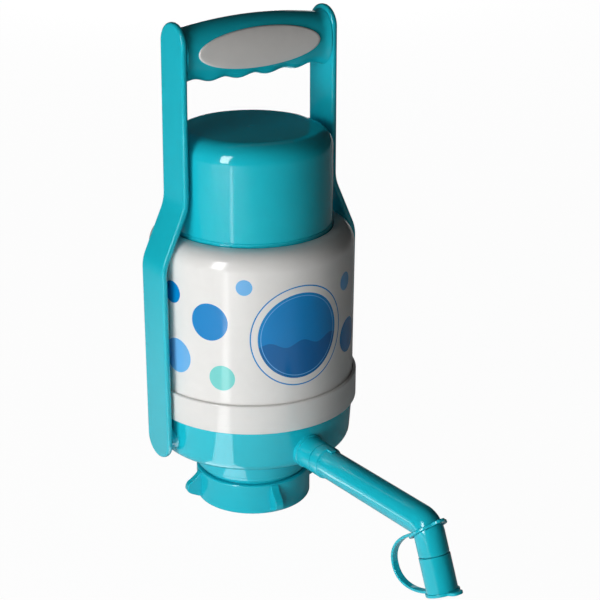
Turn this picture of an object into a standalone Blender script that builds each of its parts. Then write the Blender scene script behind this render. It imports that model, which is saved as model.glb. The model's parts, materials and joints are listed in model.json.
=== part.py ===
"""Hand pump for a water jug, in metres, +Z up.

The origin is the centre of the collar's bottom rim, on the pump's axis.
The spout points along -Y and the handle swings about the X direction.
"""
import math

import bmesh
import bpy
import numpy as np
from mathutils import Matrix, Vector

# Clearances and roundness
GAP = 0.0003
RUNNING_GAP = 0.0004
OVERRUN = 0.002
EDGE_ROUND = 0.0006
WELD = 0.00001
ROUND_STEPS = 28
SMALL_STEPS = 16
INNER_STEPS = 16
ARC_STEPS = 4
EDGE_STEPS = 1

# Bottle neck, its gasket and the collar
BOTTLE_NECK_R = 0.0275
THREAD_CLEARANCE = 0.0005
COLLAR_WALL = 0.0050
COLLAR_CHAMBER_WALL = 0.0014
COLLAR_THREAD_H = 0.0070
COLLAR_LIP_T = 0.0057
NECK_GASKET_T = 0.0020
NECK_GASKET_W = 0.0097
WING_COUNT = 4
WING_FIRST_DEG = -12.0
WING_T = 0.0046
WING_REACH = 0.0090
WING_ROUND = 0.0032
WING_SIDE_ROUND = 0.0012
WING_TOP_DROP = 0.0006
WING_TIP_share = 0.58
WING_BELLY_share = 0.36
WING_FOOT_share = 0.14

# Neck and throat of the base
NECK_FLANGE_W = 0.0016
NECK_FLANGE_T = 0.0023
NECK_WALL = 0.0056
NECK_CLEARANCE = 0.0005
THROAT_H = 0.0187
THROAT_CURVE_H = 0.0050
THROAT_BULGE = 0.0010

# Bowl of the base
BOWL_H = 0.0253
BOWL_ROUND = 0.0065
BOWL_DRAFT = 0.0017
BOWL_WALL = 0.0024
BOWL_STEP = 0.0218
RIM_WALL = 0.0022
RIM_DROP = 0.0030

# Ledge inside the base that carries the cylinder
LEDGE_RISE = 0.0088
LEDGE_CLEAR = 0.0006
LEDGE_W = 0.0046
LEDGE_WALL = 0.0020
FUNNEL_DROP = 0.0026

# Lock band and barrel
BAND_H = 0.0168
BAND_WALL = 0.0018
BAND_LIP_T = 0.0020
BARREL_H = 0.1021
BARREL_WALL = 0.0024
BARREL_ROUND = 0.0090
SHOULDER_W = 0.0121

# Press cap
STROKE = 0.0450
CAP_LEFT_OUT = 0.0095
CAP_DRAFT = 0.0004
CAP_ROUND = 0.0105
CAP_WALL = 0.0022
CAP_SKIRT = 0.0300
CAP_LIP_W = 0.0034
CAP_LIP_T = 0.0025
CAP_BOSS_WALL = 0.0029
CAP_BOSS_H = 0.0200
CAP_BOSS_END_T = 0.0020

# Cylinder, its head and its valves
CYL_BORE_R = 0.0242
CYL_WALL = 0.0020
CYL_DROP = 0.0345
CYL_FLANGE_T = 0.0025
FLANGE_GASKET_T = 0.0012
HEAD_T = 0.0040
HEAD_SPIGOT = 0.0050
PORT_R = 0.0046
SEAT_LIP_W = 0.0020
SEAT_LIP_H = 0.0012
DISC_T = 0.0012
DISC_MARGIN = 0.0009
VALVE_LIFT = 0.0020
CAGE_WALL = 0.0018
CAGE_ROOF_T = 0.0015
CAGE_MOUTH_R = 0.0035
CAGE_WINDOWS = 3
CAGE_WINDOW_W = 0.0060
NIPPLE_R = 0.0062
NIPPLE_WALL = 0.0022
NIPPLE_RIM_W = 0.0028
NIPPLE_RIM_T = 0.0016
NIPPLE_L = 0.0182
NIPPLE_BARB = 0.0008

# Screws that hold the cylinder down
SCREW_COUNT = 4
SCREW_SIDES = 8
SCREW_FIRST_DEG = 45.0
SCREW_HEAD_R = 0.0019
SCREW_HEAD_H = 0.0016
SCREW_SHANK_R = 0.0011
SCREW_LENGTH = 0.0066

# Rod, piston and spring
ROD_R = 0.0060
PISTON_REST = 0.0015
PISTON_T = 0.0100
PISTON_CLEARANCE = 0.0006
PISTON_WEB = 0.0028
PISTON_HUB_WALL = 0.0030
RING_DEPTH = 0.0018
RING_H = 0.0030
PISTON_SCREW_R = 0.0020
PISTON_SCREW_HEAD_R = 0.0048
PISTON_SCREW_HEAD_H = 0.0026
PISTON_SCREW_GRIP = 0.0140
SPRING_CLEARANCE = 0.0042
SPRING_WIRE_R = 0.0011
SPRING_TURNS = 10
SPRING_POINTS_PER_TURN = 8

# Spout
SPOUT_RISE = 0.0098
SPOUT_R = 0.0080
SPOUT_WALL = 0.0024
SPIGOT_STEP = 0.0010
SPIGOT_L = 0.0140
SPOUT_COLLAR_L = 0.0070
SPOUT_KEY_W = 0.0030
SPOUT_KEY_L = 0.0036
SPOUT_REACH = 0.0909
SPOUT_LIFT = 0.0014
SPOUT_BEND_R = 0.0086
SPOUT_DROP_DEG = 66.5
OUTLET_L = 0.0338
SEAL_GROOVE_DEPTH = 0.0007
SEAL_GROOVE_W = 0.0014
SEAL_WIRE_R = 0.0004
SEAL_SIDES = 5
SEAL_PLACE = 0.0070

# Spout socket, and the duct inside it
SOCKET_WALL = 0.0017
SOCKET_L = 0.0131
SOCKET_INSIDE_L = 0.0058
SOCKET_RING_W = 0.0007
SOCKET_RING_L = 0.0026
DUCT_BORE_R = 0.0036
DUCT_WALL = 0.0014
DUCT_CHAMBER_L = 0.0060
DUCT_SEAT_L = 0.0030
DUCT_TENON_L = 0.0040
STUB_WALL = 0.0015
STUB_L = 0.0040

# Cap on the spout and its strap
STRAP_RING_BACK_DEG = 12
STRAP_RING_T = 0.0012
STRAP_RING_W = 0.0017
STRAP_RING_GAP = 0.0008
SLEEVE_FROM = 0.0158
SLEEVE_WALL = 0.0012
TIP_STEP = 0.0013
CAP_FLOOR_T = 0.0017
CAP_FLANGE_W = 0.0008
TAB_REACH = 0.0140
TAB_W = 0.0070
STRAP_W = 0.0038
STRAP_T = 0.0015
STRAP_BULGE = 0.0280
STRAP_POWER_share = 0.90
STRAP_POINTS = 18

# Handle
PIVOT_RISE = 0.0122
PIVOT_BOSS_MARGIN = 0.0030
PIVOT_PIN_R = 0.0042
PIVOT_PIN_L = 0.0078
ARM_W = 0.0225
ARM_T = 0.0034
ARM_RISE = 0.0612
ARM_CLEARANCE = 0.0008
ARM_SPREAD = 0.0008
ARM_LEAN = 0.0006
ARM_BEND_BELOW = 0.0120
ARM_BEND_ABOVE = 0.0190
ARM_BEND_ROUND = 0.0220
ARM_EDGE = 0.0011
GRIP_DROP = 0.0176
GRIP_END_H = 0.0270
GRIP_MID_H = 0.0326
GRIP_DEPTH = 0.0205
GRIP_END_DEPTH = 0.0190
GRIP_FLARE = 0.0016
GRIP_FLARE_L = 0.0050
GRIP_ARCH = 0.0010
GRIP_STATIONS = 21
GRIP_SIDES = 18
GRIP_SQUARE_share = 0.86
WAVE_COUNT = 5
WAVE_H = 0.0010
INSERT_END = 0.0068
INSERT_RIM = 0.0052
INSERT_T = 0.00305
INSERT_PROUD = 0.0007
INSERT_POINTS = 28

# Radii about the pump's axis, from the bottle's neck outwards
COLLAR_R = BOTTLE_NECK_R + THREAD_CLEARANCE + COLLAR_WALL
COLLAR_CHAMBER_R = COLLAR_R - COLLAR_CHAMBER_WALL
NECK_FLANGE_R = COLLAR_CHAMBER_R - RUNNING_GAP
NECK_GASKET_BORE_R = NECK_FLANGE_R - NECK_GASKET_W
NECK_R = NECK_FLANGE_R - NECK_FLANGE_W
NECK_BORE_R = NECK_R - NECK_WALL
COLLAR_LIP_R = NECK_R + NECK_CLEARANCE

# Radii about the pump's axis, from the cylinder outwards
CYL_R = CYL_BORE_R + CYL_WALL
LEDGE_BORE_R = CYL_R + LEDGE_CLEAR
LEDGE_R = LEDGE_BORE_R + LEDGE_W
FLANGE_R = LEDGE_R - GAP
SCREW_CIRCLE_R = (LEDGE_BORE_R + LEDGE_R) / 2
THROAT_R = LEDGE_R + LEDGE_WALL
BOWL_LOW_R = THROAT_R + BOWL_STEP
BOWL_TOP_R = BOWL_LOW_R + BOWL_DRAFT
BARREL_R = BOWL_TOP_R
RIM_R = BARREL_R - BARREL_WALL
BAND_BORE_R = BARREL_R + GAP
BAND_R = BAND_BORE_R + BAND_WALL
CAP_R = BARREL_R - SHOULDER_W
CAP_TOP_R = CAP_R - CAP_DRAFT
CAP_LIP_R = CAP_R + CAP_LIP_W
BARREL_HOLE_R = CAP_R + RUNNING_GAP
CAP_BOSS_R = ROD_R + GAP + CAP_BOSS_WALL
PISTON_HUB_R = ROD_R + PISTON_HUB_WALL
SPRING_R = CAP_BOSS_R + SPRING_CLEARANCE + SPRING_WIRE_R
INTAKE_DISC_R = PORT_R + SEAT_LIP_W + DISC_MARGIN

# Heights, from the collar's bottom rim up
NECK_BOTTOM_Z = COLLAR_THREAD_H + GAP + NECK_GASKET_T + GAP
COLLAR_H = NECK_BOTTOM_Z + NECK_FLANGE_T + GAP + COLLAR_LIP_T
NECK_TOP_Z = COLLAR_H + NECK_CLEARANCE
THROAT_CURVE_Z = NECK_TOP_Z + THROAT_CURVE_H
BOWL_BOTTOM_Z = NECK_TOP_Z + THROAT_H
BAND_BOTTOM_Z = BOWL_BOTTOM_Z + BOWL_H
BAND_TOP_Z = BAND_BOTTOM_Z + BAND_H
RIM_TOP_Z = BAND_TOP_Z - RIM_DROP
BASE_SHOULDER_Z = BAND_BOTTOM_Z - GAP
BARREL_BOTTOM_Z = BAND_BOTTOM_Z + BAND_LIP_T + GAP
BARREL_TOP_Z = BAND_BOTTOM_Z + BARREL_H
CAP_TOP_Z = BARREL_TOP_Z + CAP_LEFT_OUT + STROKE
CAP_SKIRT_Z = BARREL_TOP_Z - CAP_SKIRT
CAP_LIP_TOP_Z = BARREL_TOP_Z - BARREL_WALL - GAP
CAP_ROOF_Z = CAP_TOP_Z - CAP_WALL
ROD_SOCKET = CAP_BOSS_H - CAP_BOSS_END_T
LEDGE_Z = NECK_TOP_Z + LEDGE_RISE
FLANGE_BOTTOM_Z = LEDGE_Z + GAP + FLANGE_GASKET_T + GAP
FLANGE_TOP_Z = FLANGE_BOTTOM_Z + CYL_FLANGE_T
SEAT_Z = FLANGE_TOP_Z + SEAT_LIP_H
CYL_TOP_Z = BARREL_TOP_Z - CYL_DROP
HEAD_TOP_Z = CYL_TOP_Z + GAP + HEAD_T
PISTON_TOP_Z = CYL_TOP_Z - HEAD_SPIGOT - PISTON_REST
PIVOT_Z = BOWL_BOTTOM_Z + PIVOT_RISE
PIVOT_BOSS_R = ARM_W / 2 - PIVOT_BOSS_MARGIN
SPOUT_Z = BOWL_BOTTOM_Z + SPOUT_RISE

# Spout, duct and socket, along the spout and about its line
SPIGOT_R = SPOUT_R - SPIGOT_STEP
SPOUT_BORE_R = SPOUT_R - SPOUT_WALL
SOCKET_BORE_R = SPIGOT_R + GAP
SOCKET_R = SOCKET_BORE_R + SOCKET_WALL
SOCKET_RING_R = SOCKET_R + SOCKET_RING_W
SPOUT_COLLAR_R = SOCKET_R
DUCT_R = SPIGOT_R
DUCT_CHAMBER_R = DUCT_R - DUCT_WALL
OUTLET_DISC_R = DUCT_CHAMBER_R - DISC_MARGIN
STUB_R = DUCT_R + GAP + STUB_WALL
OUTLET_TIP_R = SPOUT_R - TIP_STEP
SLEEVE_R = OUTLET_TIP_R + GAP + SLEEVE_WALL
CAP_FLANGE_R = SLEEVE_R + CAP_FLANGE_W
STRAP_RING_R = SPOUT_R + STRAP_RING_GAP + STRAP_RING_W
SOCKET_END_Y = BOWL_LOW_R + SOCKET_L
SOCKET_RING_END_Y = BOWL_LOW_R + SOCKET_RING_L
SOCKET_BACK_Y = BOWL_LOW_R - BOWL_WALL - SOCKET_INSIDE_L
SPIGOT_BACK_Y = SOCKET_END_Y + GAP - SPIGOT_L
STUB_END_Y = CYL_R + STUB_L
DUCT_END_Y = SPIGOT_BACK_Y - GAP
SPOUT_CORNER_Y = SOCKET_END_Y + SPOUT_REACH
SPOUT_CORNER_Z = SPOUT_Z + SPOUT_LIFT

# Handle, clear of the band and the cap
ARM_FOOT_X = BAND_R + ARM_CLEARANCE + ARM_T
ARM_TOP_X = CAP_R + ARM_CLEARANCE + ARM_T
ARM_BEND_LOW_X = ARM_FOOT_X + ARM_SPREAD
ARM_BEND_TOP_X = ARM_TOP_X + ARM_LEAN
ARM_BEND_LOW_Z = BARREL_TOP_Z - ARM_BEND_BELOW
ARM_BEND_TOP_Z = BARREL_TOP_Z + ARM_BEND_ABOVE
ARM_TOP_Z = CAP_TOP_Z + ARM_RISE
BOSS_END_X = ARM_FOOT_X - ARM_T - GAP
GRIP_HALF_L = ARM_TOP_X - ARM_T - GAP
GRIP_Z = ARM_TOP_Z - GRIP_DROP
INSERT_L = 2 * (GRIP_HALF_L - INSERT_END)
INSERT_H = GRIP_MID_H - 2 * INSERT_RIM
INSERT_FLOOR_Y = GRIP_DEPTH / 2 - INSERT_T


def collection(name):
    """A collection of the scene, made once."""
    found = bpy.data.collections.get(name)
    if found is None:
        found = bpy.data.collections.new(name)
        bpy.context.scene.collection.children.link(found)
    return found


def material(name, colour, roughness, metallic=0.0):
    """A plain Principled material."""
    found = bpy.data.materials.get(name)
    if found is None:
        found = bpy.data.materials.new(name)
        found.use_nodes = True
        shader = found.node_tree.nodes["Principled BSDF"]
        shader.inputs["Base Color"].default_value = (*colour, 1.0)
        shader.inputs["Roughness"].default_value = roughness
        shader.inputs["Metallic"].default_value = metallic
        found.diffuse_color = (*colour, 1.0)
    return found


def finish_list():
    """The finishes of the pump's pieces, by name."""
    return {
        "teal_plastic": material("teal_plastic", (0.03, 0.50, 0.58), 0.25),
        "white_plastic": material("white_plastic", (0.80, 0.79, 0.76), 0.25),
        "grey_rubber": material("grey_rubber", (0.50, 0.48, 0.46), 0.60),
        "natural_plastic": material("natural_plastic", (0.72, 0.74, 0.74), 0.35),
        "seal_rubber": material("seal_rubber", (0.03, 0.03, 0.03), 0.60),
        "steel": material("steel", (0.55, 0.55, 0.56), 0.30, 1.0),
    }


def add_object(name, mesh, finish, is_cutter=False):
    """Link a mesh as a piece of the pump, or as a hidden cutter."""
    piece = bpy.data.objects.new(name, mesh)
    if is_cutter:
        collection("pump_cutters").objects.link(piece)
        piece.hide_render = True
        piece.display_type = "WIRE"
    else:
        collection("water_jug_hand_pump").objects.link(piece)
        mesh.materials.append(finish)
    return piece


def rounded(corners, closed=True):
    """An outline from corners (across, up, round), each round made an arc."""
    points = []
    count = len(corners)
    for index, (across, up, radius) in enumerate(corners):
        here = Vector((across, up))
        at_end = not closed and index in (0, count - 1)
        if radius <= 0 or at_end:
            points.append(here)
            continue
        before = Vector(corners[index - 1][:2]) - here
        after = Vector(corners[(index + 1) % count][:2]) - here
        half = before.angle(after) / 2
        reach = radius / math.tan(half)
        centre = here + (before.normalized() + after.normalized()).normalized() * (radius / math.sin(half))
        start = here + before.normalized() * reach - centre
        sweep = start.angle_signed(here + after.normalized() * reach - centre)
        steps = ARC_STEPS if radius > 2 * EDGE_ROUND else EDGE_STEPS
        for step in range(steps + 1):
            turn = Matrix.Rotation(-sweep * step / steps, 2)
            points.append(centre + turn @ start)
    return points


def bulged(start, end, rise, steps):
    """Points between two ends on an arc that rises to the left of the run."""
    start, end = Vector(start), Vector(end)
    chord = (end - start).length
    radius = (chord * chord / 4 + rise * rise) / (2 * rise)
    half = math.asin(chord / 2 / radius)
    along = (end - start).normalized()
    left = Vector((-along.y, along.x))
    centre = (start + end) / 2 - left * (radius - rise)
    turns = [half - 2 * half * step / steps for step in range(1, steps)]
    return [centre + radius * (left * math.cos(turn) - along * math.sin(turn)) for turn in turns]


def turned(name, outline, finish, closed=True, steps=ROUND_STEPS, is_cutter=False):
    """A turned shape: an outline in the XZ plane, screwed once about Z."""
    mesh = bpy.data.meshes.new(name)
    points = [(point[0], 0.0, point[1]) for point in outline]
    edges = [(index, index + 1) for index in range(len(points) - 1)]
    if closed:
        edges.append((len(points) - 1, 0))
    mesh.from_pydata(points, edges, [])
    piece = add_object(name, mesh, finish, is_cutter)
    screw = piece.modifiers.new("turn", "SCREW")
    screw.steps = steps
    screw.render_steps = steps
    screw.use_merge_vertices = True
    screw.merge_threshold = WELD
    screw.use_smooth_shade = True
    return piece


def round_bar(name, radius, start, end, steps=SMALL_STEPS, finish=None, is_cutter=True):
    """A cylinder between two points."""
    start, end = Vector(start), Vector(end)
    shape = bmesh.new()
    bmesh.ops.create_cone(shape, cap_ends=True, segments=steps, radius1=radius, radius2=radius,
                          depth=(end - start).length)
    turn = Vector((0, 0, 1)).rotation_difference(end - start).to_matrix().to_4x4()
    bmesh.ops.transform(shape, matrix=Matrix.Translation((start + end) / 2) @ turn, verts=shape.verts)
    mesh = bpy.data.meshes.new(name)
    shape.to_mesh(mesh)
    shape.free()
    return add_object(name, mesh, finish, is_cutter)


def block(name, low, high, finish=None, is_cutter=True):
    """A box between two corners."""
    low, high = Vector(low), Vector(high)
    shape = bmesh.new()
    bmesh.ops.create_cube(shape, size=1.0)
    bmesh.ops.scale(shape, vec=high - low, verts=shape.verts)
    bmesh.ops.translate(shape, vec=(low + high) / 2, verts=shape.verts)
    mesh = bpy.data.meshes.new(name)
    shape.to_mesh(mesh)
    shape.free()
    return add_object(name, mesh, finish, is_cutter)


def plate(name, outline, thickness, finish=None, is_cutter=False):
    """A flat outline in its own XY plane, filled and given a thickness about that plane."""
    curve = bpy.data.curves.new(name, "CURVE")
    curve.dimensions = "2D"
    curve.fill_mode = "BOTH"
    curve.extrude = thickness / 2
    spline = curve.splines.new("POLY")
    spline.points.add(len(outline) - 1)
    for point, place in zip(spline.points, outline):
        point.co = (place[0], place[1], 0.0, 1.0)
    spline.use_cyclic_u = True
    piece = curve_to_piece(name, curve, finish, is_cutter)
    shape = bmesh.new()
    shape.from_mesh(piece.data)
    bmesh.ops.dissolve_limit(shape, angle_limit=math.radians(1), verts=shape.verts, edges=shape.edges)
    shape.to_mesh(piece.data)
    shape.free()
    return piece


def tube(name, path, radius, sides, finish=None, is_cutter=False):
    """A round bar along a path of points, with flat caps."""
    curve = bpy.data.curves.new(name, "CURVE")
    curve.dimensions = "3D"
    curve.bevel_depth = radius
    curve.bevel_resolution = sides
    curve.use_fill_caps = True
    spline = curve.splines.new("POLY")
    spline.points.add(len(path) - 1)
    for point, place in zip(spline.points, path):
        point.co = (*place, 1.0)
    return curve_to_piece(name, curve, finish, is_cutter)


def curve_to_piece(name, curve, finish, is_cutter):
    """Make a curve's evaluated shape a welded mesh piece and drop the curve."""
    drawn = bpy.data.objects.new(name + "_curve", curve)
    bpy.context.scene.collection.objects.link(drawn)
    bpy.context.view_layer.update()
    depsgraph = bpy.context.evaluated_depsgraph_get()
    mesh = bpy.data.meshes.new_from_object(drawn.evaluated_get(depsgraph))
    shape = bmesh.new()
    shape.from_mesh(mesh)
    bmesh.ops.remove_doubles(shape, verts=shape.verts, dist=WELD)
    bmesh.ops.recalc_face_normals(shape, faces=shape.faces)
    shape.to_mesh(mesh)
    shape.free()
    mesh.name = name
    mesh.materials.clear()
    bpy.data.objects.remove(drawn)
    bpy.data.curves.remove(curve)
    return add_object(name, mesh, finish, is_cutter)


def combine(piece, tool, operation="DIFFERENCE", solver="EXACT"):
    """Cut a piece by a tool, or join the tool to it."""
    change = piece.modifiers.new(tool.name, "BOOLEAN")
    change.operation = operation
    change.object = tool
    change.solver = solver


def join_shape(piece, tool, solver="EXACT"):
    """Join a hidden tool's shape to a piece."""
    combine(piece, tool, "UNION", solver)


def soften(piece, width, segments=2, angle_deg=40.0):
    """Round a piece's sharp edges."""
    change = piece.modifiers.new("round_edges", "BEVEL")
    change.width = width
    change.segments = segments
    change.limit_method = "ANGLE"
    change.angle_limit = math.radians(angle_deg)
    change.use_clamp_overlap = True


def around(radius, degrees, height=0.0):
    """A point round the pump's axis, where 0 degrees is the front and 90 is +X."""
    turn = math.radians(degrees)
    return Vector((radius * math.sin(turn), -radius * math.cos(turn), height))


def loft(name, rings, finish, is_cutter=False):
    """A closed solid through a row of rings that have the same number of points."""
    shape = bmesh.new()
    rows = [[shape.verts.new(point) for point in ring] for ring in rings]
    count = len(rows[0])
    for row, following in zip(rows, rows[1:]):
        for index in range(count):
            after = (index + 1) % count
            shape.faces.new((row[index], row[after], following[after], following[index]))
    shape.faces.new(list(reversed(rows[0])))
    shape.faces.new(rows[-1])
    bmesh.ops.recalc_face_normals(shape, faces=shape.faces)
    mesh = bpy.data.meshes.new(name)
    shape.to_mesh(mesh)
    shape.free()
    mesh.shade_smooth()
    mesh.set_sharp_from_angle(angle=math.radians(50))
    return add_object(name, mesh, finish, is_cutter)


def make_base_housing(finish):
    """Bowl, throat and neck in one moulding, with pivot bosses and the spout socket."""
    neck_flange_top = NECK_BOTTOM_Z + NECK_FLANGE_T
    bowl_floor = BOWL_BOTTOM_Z + BOWL_WALL
    outer = rounded([
        (RIM_R, RIM_TOP_Z, 0),
        (RIM_R, BASE_SHOULDER_Z, 0),
        (BOWL_TOP_R, BASE_SHOULDER_Z, EDGE_ROUND),
        (BOWL_LOW_R, BOWL_BOTTOM_Z, BOWL_ROUND),
        (THROAT_R, BOWL_BOTTOM_Z, 0),
        (THROAT_R, THROAT_CURVE_Z, 0),
    ], closed=False)
    outer += bulged((THROAT_R, THROAT_CURVE_Z), (NECK_R, NECK_TOP_Z), THROAT_BULGE, ARC_STEPS + 1)
    neck = [
        (NECK_R, NECK_TOP_Z), (NECK_R, neck_flange_top), (NECK_FLANGE_R, neck_flange_top),
        (NECK_FLANGE_R, NECK_BOTTOM_Z), (NECK_BORE_R, NECK_BOTTOM_Z),
    ]
    inner = rounded([
        (NECK_BORE_R, NECK_TOP_Z + BOWL_WALL, 0),
        (LEDGE_BORE_R, LEDGE_Z - FUNNEL_DROP, 0),
        (LEDGE_BORE_R, LEDGE_Z, 0),
        (LEDGE_R, LEDGE_Z, 0),
        (LEDGE_R, bowl_floor, 0),
        (BOWL_LOW_R - BOWL_WALL, bowl_floor, BOWL_ROUND - BOWL_WALL),
        (RIM_R - RIM_WALL, BASE_SHOULDER_Z - BOWL_WALL, 0),
        (RIM_R - RIM_WALL, RIM_TOP_Z, 0),
    ], closed=False)
    housing = turned("base_housing", [*outer, *neck, *inner], finish)
    add_pivot_bosses(housing)
    add_spout_socket(housing)
    add_ledge_holes(housing)
    return housing


def add_pivot_bosses(housing):
    """A round boss on each side, drilled for the arm's pin."""
    for side, sign in (("left", -1), ("right", 1)):
        inside = BOWL_LOW_R - BOWL_WALL
        boss = round_bar("pivot_boss_" + side, PIVOT_BOSS_R,
                         (sign * inside, 0, PIVOT_Z), (sign * BOSS_END_X, 0, PIVOT_Z))
        hole = round_bar("pivot_hole_" + side, PIVOT_PIN_R + GAP,
                         (sign * (inside - OVERRUN), 0, PIVOT_Z),
                         (sign * (BOSS_END_X + OVERRUN), 0, PIVOT_Z))
        join_shape(housing, boss, "MANIFOLD")
        combine(housing, hole, solver="MANIFOLD")


def add_spout_socket(housing):
    """The socket in front, with its foot ring, bored for the duct and the spigot."""
    socket = round_bar("socket_body", SOCKET_R, (0, -SOCKET_BACK_Y, SPOUT_Z),
                       (0, -SOCKET_END_Y, SPOUT_Z))
    ring = round_bar("socket_ring", SOCKET_RING_R, (0, -SOCKET_BACK_Y - OVERRUN, SPOUT_Z),
                     (0, -SOCKET_RING_END_Y, SPOUT_Z))
    bore = round_bar("socket_bore", SOCKET_BORE_R, (0, -SOCKET_BACK_Y + OVERRUN, SPOUT_Z),
                     (0, -SOCKET_END_Y - OVERRUN, SPOUT_Z))
    join_shape(housing, socket, "MANIFOLD")
    join_shape(housing, ring, "MANIFOLD")
    combine(housing, bore, solver="MANIFOLD")


def screw_places():
    """Where the cylinder's screws stand."""
    step = 360.0 / SCREW_COUNT
    return [around(SCREW_CIRCLE_R, SCREW_FIRST_DEG + step * number)
            for number in range(SCREW_COUNT)]


def add_ledge_holes(housing):
    """A blind hole in the ledge for each screw."""
    depth = SCREW_LENGTH - CYL_FLANGE_T - FLANGE_GASKET_T
    for number, place in enumerate(screw_places()):
        low = (place.x, place.y, LEDGE_Z - depth)
        high = (place.x, place.y, LEDGE_Z + OVERRUN)
        hole = round_bar(f"ledge_hole_{number}", SCREW_SHANK_R + GAP, low, high, SCREW_SIDES)
        combine(housing, hole, solver="MANIFOLD")


def make_lock_band(finish):
    """White ring round the joint of base and barrel."""
    lip_r = RIM_R + GAP
    outline = rounded([
        (BAND_R, BAND_TOP_Z, EDGE_ROUND),
        (BAND_R, BAND_BOTTOM_Z, EDGE_ROUND),
        (lip_r, BAND_BOTTOM_Z, 0),
        (lip_r, BAND_BOTTOM_Z + BAND_LIP_T, 0),
        (BAND_BORE_R, BAND_BOTTOM_Z + BAND_LIP_T, 0),
        (BAND_BORE_R, BAND_TOP_Z, 0),
    ])
    return turned("lock_band", outline, finish)


def make_barrel(finish):
    """White barrel with a rounded shoulder round the cap's hole."""
    wall_r = BARREL_R - BARREL_WALL
    spigot_r = RIM_R + GAP
    outline = rounded([
        (BARREL_HOLE_R, BARREL_TOP_Z, EDGE_ROUND),
        (BARREL_R, BARREL_TOP_Z, BARREL_ROUND),
        (BARREL_R, BARREL_BOTTOM_Z, 0),
        (spigot_r, BARREL_BOTTOM_Z, 0),
        (spigot_r, RIM_TOP_Z + GAP, 0),
        (wall_r, RIM_TOP_Z + GAP, 0),
        (wall_r, BARREL_TOP_Z - BARREL_WALL, BARREL_ROUND - BARREL_WALL),
        (BARREL_HOLE_R, BARREL_TOP_Z - BARREL_WALL, 0),
    ])
    return turned("barrel", outline, finish)


def make_press_cap(finish):
    """Teal dome with a guiding skirt, a retaining lip and a boss for the rod."""
    lip_bottom = CAP_LIP_TOP_Z - CAP_LIP_T
    inner_r = CAP_R - CAP_WALL
    boss_bottom = CAP_ROOF_Z - CAP_BOSS_H
    socket_top = boss_bottom + ROD_SOCKET
    outline = rounded([
        (0, CAP_TOP_Z, 0),
        (CAP_TOP_R, CAP_TOP_Z, CAP_ROUND),
        (CAP_R, BARREL_TOP_Z, 0),
        (CAP_R, CAP_LIP_TOP_Z, 0),
        (CAP_LIP_R, CAP_LIP_TOP_Z, 0),
        (CAP_LIP_R, lip_bottom, 0),
        (CAP_R, lip_bottom, 0),
        (CAP_R, CAP_SKIRT_Z, EDGE_ROUND),
        (inner_r, CAP_SKIRT_Z, 0),
        (CAP_TOP_R - CAP_WALL, CAP_ROOF_Z, CAP_ROUND - CAP_WALL),
        (CAP_BOSS_R, CAP_ROOF_Z, 0),
        (CAP_BOSS_R, boss_bottom, 0),
        (ROD_R + GAP, boss_bottom, 0),
        (ROD_R + GAP, socket_top, 0),
        (0, socket_top, 0),
    ], closed=False)
    return turned("press_cap", outline, finish, closed=False)


def make_pump_cylinder(finish):
    """Cylinder with a floor, a flange, the intake seat and a stub for the duct."""
    seat_r = PORT_R + SEAT_LIP_W
    outline = [
        (CYL_R, CYL_TOP_Z), (CYL_R, FLANGE_TOP_Z), (FLANGE_R, FLANGE_TOP_Z),
        (FLANGE_R, FLANGE_BOTTOM_Z), (PORT_R, FLANGE_BOTTOM_Z), (PORT_R, SEAT_Z),
        (seat_r, SEAT_Z), (seat_r, FLANGE_TOP_Z), (CYL_BORE_R, FLANGE_TOP_Z), (CYL_BORE_R, CYL_TOP_Z),
    ]
    cylinder = turned("pump_cylinder", outline, finish, steps=INNER_STEPS)
    stub = round_bar("cylinder_stub", STUB_R, (0, -CYL_BORE_R - GAP, SPOUT_Z), (0, -STUB_END_Y, SPOUT_Z))
    port = round_bar("cylinder_port", DUCT_BORE_R, (0, 0, SPOUT_Z), (0, -STUB_END_Y - OVERRUN, SPOUT_Z))
    seat = round_bar("duct_seat", DUCT_R + GAP, (0, -STUB_END_Y + DUCT_TENON_L / 2, SPOUT_Z),
                     (0, -STUB_END_Y - OVERRUN, SPOUT_Z))
    join_shape(cylinder, stub, "MANIFOLD")
    combine(cylinder, port, solver="MANIFOLD")
    combine(cylinder, seat, solver="MANIFOLD")
    for number, place in enumerate(screw_places()):
        low = (place.x, place.y, FLANGE_BOTTOM_Z - OVERRUN)
        high = (place.x, place.y, FLANGE_TOP_Z + OVERRUN)
        hole = round_bar(f"flange_hole_{number}", SCREW_SHANK_R + GAP, low, high, SCREW_SIDES)
        combine(cylinder, hole, solver="MANIFOLD")
    return cylinder


def make_flange_gasket(finish):
    """Flat gasket between the ledge and the cylinder's flange."""
    low = LEDGE_Z + GAP
    high = low + FLANGE_GASKET_T
    inner_r = LEDGE_BORE_R
    outline = [(FLANGE_R, high), (FLANGE_R, low), (inner_r, low), (inner_r, high)]
    gasket = turned("flange_gasket", outline, finish, steps=INNER_STEPS)
    for number, place in enumerate(screw_places()):
        bottom = (place.x, place.y, low - OVERRUN)
        top = (place.x, place.y, high + OVERRUN)
        combine(gasket, round_bar(f"gasket_hole_{number}", SCREW_SHANK_R + GAP, bottom, top, SCREW_SIDES))
    return gasket


def make_cylinder_screws(finish):
    """Pan head screws through the cylinder's flange."""
    under = FLANGE_TOP_Z + GAP
    top = under + SCREW_HEAD_H
    tip = under - SCREW_LENGTH
    outline = rounded([
        (0, top, 0), (SCREW_HEAD_R, top, 0), (SCREW_HEAD_R, under, 0),
        (SCREW_SHANK_R, under, 0), (SCREW_SHANK_R, tip, 0), (0, tip, 0),
    ], closed=False)
    for number, place in enumerate(screw_places()):
        screw = turned(f"cylinder_screw_{number + 1}", outline, finish, closed=False, steps=SCREW_SIDES)
        screw.location = place


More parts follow.
